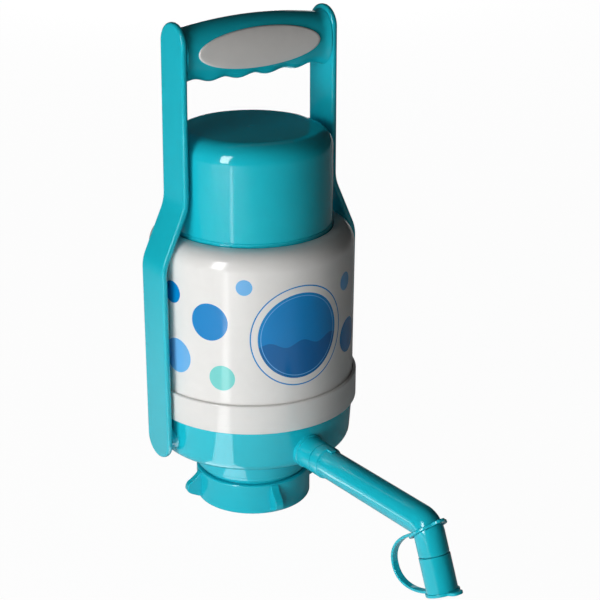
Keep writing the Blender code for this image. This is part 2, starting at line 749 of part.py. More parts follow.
def make_cylinder_head(finish):
    """Lid of the cylinder that guides the rod and carries the spring."""
    spigot_r = CYL_BORE_R - GAP
    guide_r = ROD_R + RUNNING_GAP
    low = CYL_TOP_Z + GAP
    hub_r = SPRING_R * math.cos(math.pi / SPRING_POINTS_PER_TURN) - SPRING_WIRE_R - GAP
    outline = [
        (guide_r, HEAD_TOP_Z + HEAD_T / 2), (hub_r, HEAD_TOP_Z + HEAD_T / 2), (hub_r, HEAD_TOP_Z),
        (CYL_R, HEAD_TOP_Z), (CYL_R, low), (spigot_r, low), (spigot_r, CYL_TOP_Z - HEAD_SPIGOT),
        (spigot_r - CYL_WALL, CYL_TOP_Z - HEAD_SPIGOT), (spigot_r - CYL_WALL, low), (guide_r, low),
    ]
    return turned("cylinder_head", outline, finish, steps=INNER_STEPS)


def make_intake_valve_disc(finish):
    """Rubber disc that lifts off the intake seat."""
    low = SEAT_Z + GAP
    return round_bar("intake_valve_disc", INTAKE_DISC_R, (0, 0, low), (0, 0, low + DISC_T),
                     SMALL_STEPS, finish, False)


def make_valve_cage(finish):
    """Cup over the intake disc, with windows for the water."""
    inner_r = INTAKE_DISC_R + RUNNING_GAP
    outer_r = inner_r + CAGE_WALL
    low = FLANGE_TOP_Z + GAP
    roof = SEAT_Z + GAP + DISC_T + VALVE_LIFT + GAP
    top = roof + CAGE_ROOF_T
    outline = [
        (CAGE_MOUTH_R, top), (outer_r, top), (outer_r, low), (inner_r, low), (inner_r, roof),
        (CAGE_MOUTH_R, roof),
    ]
    cage = turned("valve_cage", outline, finish, steps=SMALL_STEPS)
    for number in range(CAGE_WINDOWS):
        turn = 360.0 / CAGE_WINDOWS * number
        window = block(f"cage_window_{number}", (-CAGE_WINDOW_W / 2, CAGE_MOUTH_R, low + SEAT_LIP_H),
                       (CAGE_WINDOW_W / 2, outer_r + OVERRUN, roof - GAP))
        window.rotation_euler = (0, 0, math.radians(turn))
        combine(cage, window)
    return cage


def make_dip_tube_nipple(finish):
    """Barbed nipple under the intake port, for the dip tube."""
    top = FLANGE_BOTTOM_Z - GAP
    barb = NIPPLE_R + NIPPLE_BARB
    bottom = top - NIPPLE_L
    foot = bottom + NIPPLE_BARB * 4
    rim_r = NIPPLE_R + NIPPLE_RIM_W
    bore_r = NIPPLE_R - NIPPLE_WALL
    outline = [
        (rim_r, top), (rim_r, top - NIPPLE_RIM_T), (NIPPLE_R, top - NIPPLE_RIM_T),
        (NIPPLE_R, foot), (barb, foot), (NIPPLE_R - NIPPLE_BARB, bottom),
        (bore_r, bottom), (bore_r, top),
    ]
    return turned("dip_tube_nipple", outline, finish, steps=SMALL_STEPS)


def make_neck_gasket(finish):
    """Rubber ring that the bottle's mouth seals on."""
    low = COLLAR_THREAD_H + GAP
    high = low + NECK_GASKET_T
    inner_r = NECK_GASKET_BORE_R
    outline = [(NECK_FLANGE_R, high), (NECK_FLANGE_R, low), (inner_r, low), (inner_r, high)]
    return turned("neck_gasket", outline, finish)


def make_piston_rod(finish):
    """Rod from the cap's boss down to the piston, drilled for the screw."""
    top = CAP_ROOF_Z - CAP_BOSS_H + ROD_SOCKET - GAP
    low = PISTON_TOP_Z + GAP
    bore_r = PISTON_SCREW_R + GAP
    bore_top = PISTON_TOP_Z + PISTON_SCREW_GRIP + GAP
    outline = rounded([
        (0, top, 0), (ROD_R, top, EDGE_ROUND), (ROD_R, low, 0), (bore_r, low, 0), (bore_r, bore_top, 0),
        (0, bore_top, 0),
    ], closed=False)
    return turned("piston_rod", outline, finish, closed=False, steps=SMALL_STEPS)


def make_piston(finish):
    """Cup-shaped piston with a hub and a groove for its ring."""
    outer_r = CYL_BORE_R - PISTON_CLEARANCE
    groove_r = outer_r - RING_DEPTH
    low = PISTON_TOP_Z - PISTON_T
    middle = (PISTON_TOP_Z + low) / 2
    groove = RING_H / 2 + GAP
    bore_r = PISTON_SCREW_R + GAP
    outline = [
        (PISTON_HUB_R, PISTON_TOP_Z), (PISTON_HUB_R, middle + PISTON_WEB / 2),
        (groove_r - CYL_WALL, middle + PISTON_WEB / 2), (groove_r - CYL_WALL, PISTON_TOP_Z),
        (outer_r, PISTON_TOP_Z), (outer_r, middle + groove), (groove_r, middle + groove),
        (groove_r, middle - groove), (outer_r, middle - groove), (outer_r, low),
        (groove_r - CYL_WALL, low), (groove_r - CYL_WALL, middle - PISTON_WEB / 2),
        (bore_r, middle - PISTON_WEB / 2), (bore_r, PISTON_TOP_Z),
    ]
    return turned("piston", outline, finish, steps=INNER_STEPS)


def make_piston_ring(finish):
    """Sealing ring in the piston's groove."""
    outer_r = CYL_BORE_R - GAP
    inner_r = CYL_BORE_R - PISTON_CLEARANCE - RING_DEPTH + GAP
    middle = PISTON_TOP_Z - PISTON_T / 2
    low, high = middle - RING_H / 2, middle + RING_H / 2
    outline = [(outer_r, high), (outer_r, low), (inner_r, low), (inner_r, high)]
    return turned("piston_ring", outline, finish, steps=INNER_STEPS)


def make_piston_screw(finish):
    """Screw that holds the piston to the rod, put in from below."""
    under = PISTON_TOP_Z - PISTON_T / 2 - PISTON_WEB / 2 - GAP
    tip = PISTON_TOP_Z + PISTON_SCREW_GRIP
    low = under - PISTON_SCREW_HEAD_H
    outline = [
        (0, tip), (PISTON_SCREW_R, tip), (PISTON_SCREW_R, under), (PISTON_SCREW_HEAD_R, under),
        (PISTON_SCREW_HEAD_R, low), (0, low),
    ]
    return turned("piston_screw", outline, finish, closed=False, steps=SMALL_STEPS)


def spring_points():
    """The spring's centre line, with its end turns lying flat."""
    low = HEAD_TOP_Z + GAP + SPRING_WIRE_R
    high = CAP_ROOF_Z - GAP - SPRING_WIRE_R
    pitch = 2 * SPRING_WIRE_R + 2 * GAP
    count = SPRING_TURNS * SPRING_POINTS_PER_TURN
    points = []
    for step in range(count + 1):
        turns = step / SPRING_POINTS_PER_TURN
        free = (high - low - 2 * pitch) / (SPRING_TURNS - 2)
        middle = min(max(turns - 1, 0), SPRING_TURNS - 2)
        flat = min(turns, 1) + max(turns - SPRING_TURNS + 1, 0)
        angle = 2 * math.pi * turns
        points.append(Vector((SPRING_R * math.cos(angle), SPRING_R * math.sin(angle),
                              low + flat * pitch + middle * free)))
    return points


def spring_least_gap(points):
    """The least gap between neighbouring turns of the spring."""
    after = SPRING_POINTS_PER_TURN
    steps = [(points[index + after] - points[index]).length for index in range(len(points) - after)]
    return min(steps) - 2 * SPRING_WIRE_R


def make_return_spring(finish):
    """Wire spring between the cylinder's head and the cap."""
    points = spring_points()
    print("least gap between spring turns, mm:", round(spring_least_gap(points) * 1000, 2))
    spring = tube("return_spring", points, SPRING_WIRE_R, 1, finish)
    spring.data.shade_smooth()
    return spring


def make_outlet_duct(finish):
    """Duct from the cylinder to the spout, with a chamber for the outlet valve."""
    back = STUB_END_Y - DUCT_TENON_L / 2 + GAP
    chamber = back + DUCT_SEAT_L
    outline = [
        (DUCT_R, DUCT_END_Y), (DUCT_R, back), (DUCT_BORE_R, back), (DUCT_BORE_R, chamber),
        (DUCT_CHAMBER_R, chamber), (DUCT_CHAMBER_R, chamber + DUCT_CHAMBER_L),
        (DUCT_BORE_R, chamber + DUCT_CHAMBER_L), (DUCT_BORE_R, DUCT_END_Y),
    ]
    duct = turned("outlet_duct", outline, finish, steps=SMALL_STEPS)
    point_forward(duct)
    return duct


def point_forward(piece):
    """Turn a piece's own +Z to the front and put it at the spout's height."""
    piece.rotation_euler = (math.radians(90), 0, 0)
    piece.location = (0, 0, SPOUT_Z)


def make_outlet_valve_disc(finish):
    """Rubber disc in the duct's chamber."""
    back = STUB_END_Y - DUCT_TENON_L / 2 + GAP + DUCT_SEAT_L + GAP
    return round_bar("outlet_valve_disc", OUTLET_DISC_R, (0, -back, SPOUT_Z),
                     (0, -back - DISC_T, SPOUT_Z), SMALL_STEPS, finish, False)


def outlet_direction():
    """Which way the outlet points."""
    drop = math.radians(SPOUT_DROP_DEG)
    return Vector((0, -math.cos(drop), -math.sin(drop)))


def across_from(along):
    """The direction in the spout's plane that is square to another, towards the base."""
    return Vector((0, -along.z, along.y))


def spout_corner():
    """Where the spout's two centre lines meet."""
    return Vector((0, -SPOUT_CORNER_Y, SPOUT_CORNER_Z))


def on_outlet(distance, off=0.0):
    """A point along the outlet, moved off its line towards the base."""
    along = outlet_direction()
    return spout_corner() + along * distance + across_from(along) * off


def spout_knee():
    """Where the spout's collar ends and its slope begins."""
    return Vector((0, -SOCKET_END_Y - SPOUT_COLLAR_L, SPOUT_Z))


def spout_turn():
    """How far the spout turns in its bend."""
    return (spout_corner() - spout_knee()).angle(outlet_direction())


def on_bend(turn):
    """A point on the centre line of the spout's bend, after a turn from its start."""
    corner = spout_corner()
    incoming = (corner - spout_knee()).normalized()
    half = spout_turn() / 2
    inward = (outlet_direction() - incoming).normalized()
    centre = corner + inward * (SPOUT_BEND_R / math.cos(half))
    first = corner - incoming * SPOUT_BEND_R * math.tan(half) - centre
    return centre + Matrix.Rotation(turn, 3, "X") @ first


def spout_path(extra=0.0):
    """The spout's centre line from its spigot to its tip."""
    start = Vector((0, -SPIGOT_BACK_Y + extra, SPOUT_Z))
    arc = [on_bend(turn) for turn in np.linspace(0, spout_turn(), ARC_STEPS + 3)]
    return [start, spout_knee(), *arc, on_outlet(OUTLET_L + extra)]


def make_spout(finish):
    """Bent spout with a spigot, a keyed collar and a narrower tip for the cap."""
    spout = tube("spout", spout_path(), SPOUT_R, 6, finish)
    shoulder_y = SOCKET_END_Y + GAP
    collar_end = SOCKET_END_Y + SPOUT_COLLAR_L
    seal_y = SPIGOT_BACK_Y + SEAL_PLACE
    collar = round_bar("spout_collar", SPOUT_COLLAR_R, (0, -shoulder_y + OVERRUN, SPOUT_Z),
                       (0, -collar_end, SPOUT_Z))
    key = block("spout_key", (-SPOUT_KEY_W / 2, -collar_end - OVERRUN, SPOUT_Z + SPOUT_R / 2),
                (SPOUT_KEY_W / 2, -collar_end + SPOUT_KEY_L, SPOUT_Z + SPOUT_COLLAR_R + OVERRUN))
    key_floor = round_bar("spout_key_floor", SPOUT_R - EDGE_ROUND, (0, -shoulder_y + OVERRUN, SPOUT_Z),
                          (0, -collar_end - OVERRUN * 2, SPOUT_Z))
    groove_r = SPIGOT_R - SEAL_GROOVE_DEPTH
    trim = sleeve_cutter("spigot_trim", [
        (SPIGOT_R, SPIGOT_BACK_Y - OVERRUN), (SPIGOT_R, seal_y - SEAL_GROOVE_W / 2),
        (groove_r, seal_y - SEAL_GROOVE_W / 2), (groove_r, seal_y + SEAL_GROOVE_W / 2),
        (SPIGOT_R, seal_y + SEAL_GROOVE_W / 2), (SPIGOT_R, shoulder_y),
    ])
    tip = sleeve_cutter("tip_trim", [(OUTLET_TIP_R, SLEEVE_FROM), (OUTLET_TIP_R, OUTLET_L + OVERRUN)])
    bore = tube("spout_bore", spout_path(OVERRUN), SPOUT_BORE_R, 4, is_cutter=True)
    point_forward(trim)
    aim_down_outlet(tip)
    combine(key, key_floor)
    join_shape(spout, collar, "MANIFOLD")
    for tool in (key, trim, tip, bore):
        combine(spout, tool, solver="MANIFOLD")
    return spout


def sleeve_cutter(name, inner):
    """A thick sleeve that trims a round bar down to an inner outline."""
    outer_r = SPOUT_COLLAR_R * 2
    outline = [(outer_r, inner[-1][1]), (outer_r, inner[0][1]), *inner]
    return turned(name, outline, None, steps=SMALL_STEPS, is_cutter=True)


def aim_down_outlet(piece):
    """Turn a piece's own +Z along the outlet, from the spout's corner."""
    turn = Vector((0, 0, 1)).rotation_difference(outlet_direction())
    piece.rotation_mode = "QUATERNION"
    piece.rotation_quaternion = turn
    piece.location = spout_corner()


def make_spout_seal(finish):
    """Sealing ring in the spigot's groove."""
    ring_r = SPIGOT_R - SEAL_GROOVE_DEPTH + SEAL_WIRE_R + GAP / 3
    ring_y = SPIGOT_BACK_Y + SEAL_PLACE
    outline = []
    for turn in np.linspace(0, -2 * math.pi, SEAL_SIDES, endpoint=False):
        outline.append((ring_r + SEAL_WIRE_R * math.cos(turn), ring_y + SEAL_WIRE_R * math.sin(turn)))
    seal = turned("spout_seal", outline, finish, steps=SMALL_STEPS)
    point_forward(seal)
    return seal


def ring_seat():
    """Middle of the strap's ring, which sits back on the bend, and the way through it."""
    back = math.radians(STRAP_RING_BACK_DEG)
    return on_bend(spout_turn() - back), Matrix.Rotation(-back, 3, "X") @ outlet_direction()


def strap_line():
    """The strap's centre line in the spout's plane, as (along the outlet, off it)."""
    seat, way = ring_seat()
    root = seat + across_from(way) * (STRAP_RING_R - STRAP_T) - spout_corner()
    start, ring_foot = root.dot(outlet_direction()), root.dot(across_from(outlet_direction()))
    end, cap_foot = OUTLET_L + GAP + CAP_FLOOR_T / 2, CAP_FLANGE_R + GAP
    middle, half = (start + end) / 2, (end - start) / 2
    points = []
    for step in range(STRAP_POINTS + 1):
        share = step / STRAP_POINTS
        across, out = -math.cos(math.pi * share), abs(math.sin(math.pi * share))
        along = middle + half * math.copysign(abs(across) ** STRAP_POWER_share, across)
        foot = ring_foot + (cap_foot - ring_foot) * share
        points.append(Vector((along, foot + STRAP_BULGE * out ** STRAP_POWER_share)))
    return points


def strap_outline():
    """Both sides of the strap, half its thickness from the centre line."""
    line = strap_line()
    sides = ([], [])
    for index, point in enumerate(line):
        before, after = line[max(index - 1, 0)], line[min(index + 1, len(line) - 1)]
        along = (after - before).normalized()
        normal = Vector((-along.y, along.x)) * STRAP_T / 2
        sides[0].append(point + normal)
        sides[1].append(point - normal)
    return sides[0] + sides[1][::-1]


def make_cap_strap(finish):
    """Ring on the outlet with a tab, and the flexible strap down to the cap."""
    strap = plate("cap_strap", strap_outline(), STRAP_W, finish)
    along = outlet_direction()
    back = across_from(along)
    turn = Matrix((along, back, along.cross(back))).transposed().to_4x4()
    strap.matrix_world = Matrix.Translation(spout_corner()) @ turn
    seat, way = ring_seat()
    ring = washer_with_tab("strap_ring", seat, way, STRAP_RING_T, STRAP_RING_R)
    join_shape(strap, ring)
    clear = way * (STRAP_RING_T / 2 + OVERRUN)
    hole = round_bar("strap_ring_hole", SPOUT_R + STRAP_RING_GAP, seat - clear, seat + clear)
    combine(strap, hole)
    return strap


def washer_with_tab(name, seat, way, thickness, radius):
    """A round plate square to a direction, with a finger tab on its front."""
    half = thickness / 2
    disc = round_bar(name, radius, seat - way * half, seat + way * half)
    tab = block(name + "_tab", (-TAB_W / 2, -TAB_REACH, -half), (TAB_W / 2, -radius / 2, half))
    back = across_from(way)
    turn = Matrix((way.cross(back) * -1, back, way)).transposed().to_4x4()
    tab.matrix_world = Matrix.Translation(seat) @ turn
    soften(tab, TAB_W / 4, 3, 80.0)
    join_shape(disc, tab)
    return disc


def make_spout_cap(finish):
    """Sleeve that plugs the outlet, with a floor, a flange and a pull tab."""
    floor = OUTLET_L + GAP
    start = SLEEVE_FROM + GAP
    inner_r = OUTLET_TIP_R + GAP
    end = floor + CAP_FLOOR_T
    cap = turned("spout_cap", [
        (0, end), (SLEEVE_R, end), (SLEEVE_R, start), (inner_r, start), (inner_r, floor), (0, floor),
    ], finish, closed=False, steps=SMALL_STEPS)
    aim_down_outlet(cap)
    seat = on_outlet(floor + GAP + CAP_FLOOR_T / 2)
    flange = washer_with_tab("cap_flange", seat, outlet_direction(), CAP_FLOOR_T, CAP_FLANGE_R)
    join_shape(cap, flange)
    return cap


def arm_path():
    """The outer face of an arm in the XZ plane, from the foot up."""
    foot_z = PIVOT_Z - ARM_W / 2
    return rounded([
        (ARM_FOOT_X, foot_z, 0), (ARM_BEND_LOW_X, ARM_BEND_LOW_Z, ARM_BEND_ROUND),
        (ARM_BEND_TOP_X, ARM_BEND_TOP_Z, ARM_BEND_ROUND), (ARM_TOP_X, ARM_TOP_Z, 0),
    ], closed=False)


def arm_rows():
    """Rows of an arm: (outer x, height, half width), with round ends."""
    path = arm_path()
    heights = [point.y for point in path]
    reaches = [point.x for point in path]
    half = ARM_W / 2
    foot, top = heights[0], heights[-1]
    turns = [math.pi / 2 * step / ARC_STEPS for step in range(ARC_STEPS + 1)]
    low = [foot + half * (1 - math.cos(turn)) for turn in turns]
    high = [top - half * (1 - math.cos(turn)) for turn in reversed(turns)]
    middle = [height for height in heights[1:-1]]
    rows = []
    for height in [*low, *middle, *high]:
        from_end = min(height - foot, top - height, half)
        width = math.sqrt(max(half * half - (half - from_end) ** 2, 0))
        rows.append((float(np.interp(height, heights, reaches)), height, width))
    return rows


def make_arm(name, sign, finish):
    """Flat arm of the handle, bent out round the barrel, with its pivot pin inside."""
    rows = arm_rows()
    shape = bmesh.new()
    bmesh.ops.create_grid(shape, x_segments=2, y_segments=len(rows) - 1, size=1.0)
    shape.verts.ensure_lookup_table()
    for vert in shape.verts:
        across = vert.co.x
        outer_x, height, half = rows[round((vert.co.y + 1) / 2 * (len(rows) - 1))]
        vert.co = (sign * outer_x, across * half, height)
    bmesh.ops.remove_doubles(shape, verts=shape.verts, dist=WELD)
    mesh = bpy.data.meshes.new(name)
    shape.to_mesh(mesh)
    shape.free()
    mesh.shade_smooth()
    arm = add_object(name, mesh, finish)
    wall = arm.modifiers.new("thickness", "SOLIDIFY")
    wall.thickness = ARM_T
    wall.offset = -1.0 if sign > 0 else 1.0
    wall.use_even_offset = True
    soften(arm, ARM_EDGE, 2, 50.0)
    start = sign * (ARM_FOOT_X - ARM_T / 2)
    end = sign * (BOSS_END_X - PIVOT_PIN_L)
    pin = round_bar(name + "_pin", PIVOT_PIN_R, (start, 0, PIVOT_Z), (end, 0, PIVOT_Z))
    join_shape(arm, pin)
    return arm


def grip_ring(x, grow=0.0):
    """One section of the grip: a rounded oval with finger waves underneath."""
    share = abs(x) / GRIP_HALF_L
    swell = 1 - share * share
    flare = GRIP_FLARE * max(0.0, 1 - (GRIP_HALF_L - abs(x)) / GRIP_FLARE_L) ** 2
    half_h = (GRIP_END_H + (GRIP_MID_H - GRIP_END_H) * swell) / 2 + flare + grow
    half_d = (GRIP_END_DEPTH + (GRIP_DEPTH - GRIP_END_DEPTH) * swell) / 2 + flare + grow
    middle = GRIP_Z + GRIP_ARCH * swell
    wave = WAVE_H * math.cos(2 * math.pi * WAVE_COUNT * x / (2 * GRIP_HALF_L)) * min(1.0, 4 * swell)
    ring = []
    for turn in np.linspace(0, 2 * math.pi, GRIP_SIDES, endpoint=False):
        across, up = math.cos(turn), math.sin(turn)
        y = half_d * math.copysign(abs(across) ** GRIP_SQUARE_share, across)
        z = half_h * math.copysign(abs(up) ** GRIP_SQUARE_share, up)
        z += wave * max(0.0, -up)
        ring.append((x, y, middle + z))
    return ring


def grip_stations():
    """Places along the grip where its section is set."""
    return np.linspace(-GRIP_HALF_L, GRIP_HALF_L, GRIP_STATIONS)


def insert_outline(grow):
    """The insert's oval, grown or shrunk a little."""
    half_l, half_h = INSERT_L / 2 + grow, INSERT_H / 2 + grow
    turns = np.linspace(0, 2 * math.pi, INSERT_POINTS, endpoint=False)
    return [(half_l * math.cos(turn), half_h * math.sin(turn)) for turn in turns]


def insert_prism(name, grow, front, back, finish=None, is_cutter=True):
    """The insert's oval as a prism between two depths in front of the grip's middle."""
    prism = plate(name, insert_outline(grow), front - back, finish, is_cutter)
    middle = GRIP_Z + GRIP_ARCH
    prism.rotation_euler = (math.radians(90), 0, 0)
    prism.location = (0, -(front + back) / 2, middle)
    return prism


def make_grip(finish):
    """Grip between the arms, with a pocket for the insert."""
    grip = loft("grip", [grip_ring(x) for x in grip_stations()], finish)
    front = GRIP_DEPTH + OVERRUN
    combine(grip, insert_prism("insert_pocket", 0.0, front, INSERT_FLOOR_Y))
    return grip


def make_grip_insert(finish):
    """Soft oval pad in the grip's front."""
    front = GRIP_DEPTH + OVERRUN
    insert = insert_prism("grip_insert", -GAP, front, INSERT_FLOOR_Y + GAP, finish, False)
    skin = loft("insert_skin", [grip_ring(x, INSERT_PROUD) for x in grip_stations()], None, True)
    combine(insert, skin, "INTERSECT")
    return insert


def wing_outline():
    """A wing's outline in its own plane: (out from the axis, up)."""
    root = (COLLAR_CHAMBER_R + COLLAR_R) / 2
    tip = COLLAR_R + WING_REACH
    return rounded([
        (root, COLLAR_H - WING_TOP_DROP, 0), (COLLAR_R, COLLAR_H - WING_TOP_DROP, 0),
        (tip, COLLAR_H * WING_TIP_share, WING_ROUND),
        (tip - WING_ROUND / 2, COLLAR_H * WING_BELLY_share, WING_ROUND / 2),
        (COLLAR_R, COLLAR_H * WING_FOOT_share, 0), (root, COLLAR_H * WING_FOOT_share, 0),
    ])


def make_neck_collar(finish):
    """Winged collar that clamps the pump on the bottle's neck."""
    thread_r = BOTTLE_NECK_R + THREAD_CLEARANCE
    lip_z = COLLAR_H - COLLAR_LIP_T
    outline = rounded([
        (COLLAR_R, COLLAR_H, EDGE_ROUND), (COLLAR_R, 0, EDGE_ROUND), (thread_r, 0, EDGE_ROUND),
        (thread_r, COLLAR_THREAD_H, 0), (COLLAR_CHAMBER_R, COLLAR_THREAD_H, 0),
        (COLLAR_CHAMBER_R, lip_z, 0), (COLLAR_LIP_R, lip_z, 0), (COLLAR_LIP_R, COLLAR_H, EDGE_ROUND),
    ])
    collar = turned("neck_collar", outline, finish)
    for number in range(WING_COUNT):
        wing = plate(f"wing_{number}", wing_outline(), WING_T, is_cutter=True)
        turn = WING_FIRST_DEG + 360.0 / WING_COUNT * number
        wing.rotation_euler = (math.radians(90), 0, math.radians(turn - 90))
        soften(wing, WING_SIDE_ROUND, 1)
        join_shape(collar, wing, "MANIFOLD")
    return collar


def build():
    """Model every piece of the pump."""
    for old in list(bpy.data.objects):
        bpy.data.objects.remove(old)
    finish = finish_list()
    teal, white, grey = finish["teal_plastic"], finish["white_plastic"], finish["grey_rubber"]
    natural, rubber, steel = finish["natural_plastic"], finish["seal_rubber"], finish["steel"]
    make_base_housing(teal)
    make_lock_band(white)
    make_barrel(white)
    make_press_cap(teal)
    make_pump_cylinder(natural)
    make_flange_gasket(rubber)
    make_cylinder_screws(steel)
    make_cylinder_head(natural)
    make_intake_valve_disc(rubber)
    make_valve_cage(natural)
    make_dip_tube_nipple(natural)
    make_neck_gasket(rubber)
    make_piston_rod(natural)
    make_piston(natural)
    make_piston_ring(rubber)
    make_piston_screw(steel)
    make_return_spring(steel)
    make_outlet_duct(natural)
    make_outlet_valve_disc(rubber)
    make_spout(teal)
    make_spout_seal(rubber)
    make_cap_strap(teal)
    make_spout_cap(teal)
    make_arm("left_arm", -1, teal)
    make_arm("right_arm", 1, teal)
    make_grip(teal)
    make_grip_insert(grey)
    make_neck_collar(teal)


build()
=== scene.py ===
"""Water jug hand pump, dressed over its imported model. Run as a script."""
import json
import math

import bmesh
import bpy
from bpy.props import FloatProperty, FloatVectorProperty, IntProperty, PointerProperty
from mathutils import Matrix, Vector


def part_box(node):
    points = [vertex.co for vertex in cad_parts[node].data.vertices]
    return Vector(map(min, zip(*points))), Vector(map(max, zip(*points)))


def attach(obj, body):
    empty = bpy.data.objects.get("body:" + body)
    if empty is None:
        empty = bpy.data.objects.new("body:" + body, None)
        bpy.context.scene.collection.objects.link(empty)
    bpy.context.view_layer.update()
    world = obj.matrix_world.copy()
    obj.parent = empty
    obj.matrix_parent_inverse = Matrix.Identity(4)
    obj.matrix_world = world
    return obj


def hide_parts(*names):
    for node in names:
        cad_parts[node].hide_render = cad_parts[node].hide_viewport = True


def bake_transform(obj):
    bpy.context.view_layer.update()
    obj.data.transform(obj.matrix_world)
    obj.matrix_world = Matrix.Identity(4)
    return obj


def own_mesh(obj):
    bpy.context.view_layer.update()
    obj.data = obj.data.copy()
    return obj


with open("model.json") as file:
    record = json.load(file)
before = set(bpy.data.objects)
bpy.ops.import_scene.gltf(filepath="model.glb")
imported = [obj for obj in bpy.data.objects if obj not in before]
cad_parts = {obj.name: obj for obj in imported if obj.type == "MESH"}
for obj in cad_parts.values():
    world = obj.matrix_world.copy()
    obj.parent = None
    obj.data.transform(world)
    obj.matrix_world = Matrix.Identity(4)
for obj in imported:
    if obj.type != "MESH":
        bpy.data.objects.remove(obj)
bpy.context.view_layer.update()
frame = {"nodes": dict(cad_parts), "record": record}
NODE_BOXES = {node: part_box(node) for node in frame["nodes"]}

bl_info = {
    "name": "Water Jug Hand Pump",
    "version": (1, 0, 0),
    "blender": (4, 5, 0),
    "location": "3D Viewport > Sidebar > Hand Pump",
    "description": "Models and finishes a hand pump for a large water bottle",
    "category": "Object",
}

UP = Vector((0, 0, 1))
FRONT = Vector((0, -1, 0))
JOINTS = {joint["name"]: joint for joint in frame["record"]["behaviour"]["joints"]}
TIP_WAY = Vector(JOINTS["cap_pull"]["axis"]).normalized()
PIVOT = Vector(JOINTS["handle_swing"]["pos_m"])

# Space added to the gap round pieces that slide or turn
SLACK = 0.0001

# Powers under one, which square off the grip's section and the strap's bow
GRIP_POWER = 0.86
STRAP_POWER = 0.90

# Finish: packed slot, colour, roughness and its spread, grain and ripple depth, grain scale, metallic
FINISHES = {
    "teal_gloss": ("teal_plastic", "teal", 0.085, 0.05, 0.015, 0.03, 2500.0, 0.0),
    "teal_supple": ("teal_soft", "teal", 0.10, 0.05, 0.015, 0.03, 2500.0, 0.0),
    "white_printed": ("white_plastic", "white", 0.14, 0.05, 0.02, 0.03, 2500.0, 0.0),
    "band_gloss": ("white_plastic", "band", 0.11, 0.05, 0.02, 0.03, 2500.0, 0.0),
    "grey_soft": ("grey_grip", "grey", 0.48, 0.08, 0.30, 0.02, 3800.0, 0.0),
    "natural_satin": ("natural_plastic", "natural", 0.34, 0.10, 0.10, 0.03, 2500.0, 0.0),
    "black_rubber": ("seal_rubber", "rubber", 0.55, 0.12, 0.25, 0.03, 3000.0, 0.0),
    "bare_steel": ("steel", "steel", 0.26, 0.12, 0.10, 0.02, 4000.0, 1.0),
}


def node_low(node):
    """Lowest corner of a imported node."""
    return Vector(NODE_BOXES[node][0])


def node_high(node):
    """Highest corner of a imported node."""
    return Vector(NODE_BOXES[node][1])


def length(label, text, default):
    """A length that a user would change."""
    return FloatProperty(name=label, description=text, default=default, min=0.0, precision=5,
                         unit="LENGTH", subtype="DISTANCE")


def rotation(label, text, degrees):
    """An angle that a user would change."""
    return FloatProperty(name=label, description=text, default=math.radians(degrees), subtype="ANGLE")


def amount(label, text, default, least=1):
    """A number of like things that a user would change."""
    return IntProperty(name=label, description=text, default=default, min=least)


def colour(label, text, default):
    """A colour that a user would change."""
    return FloatVectorProperty(name=label, description=text, default=default, size=3, min=0.0, max=1.0,
                               subtype="COLOR")


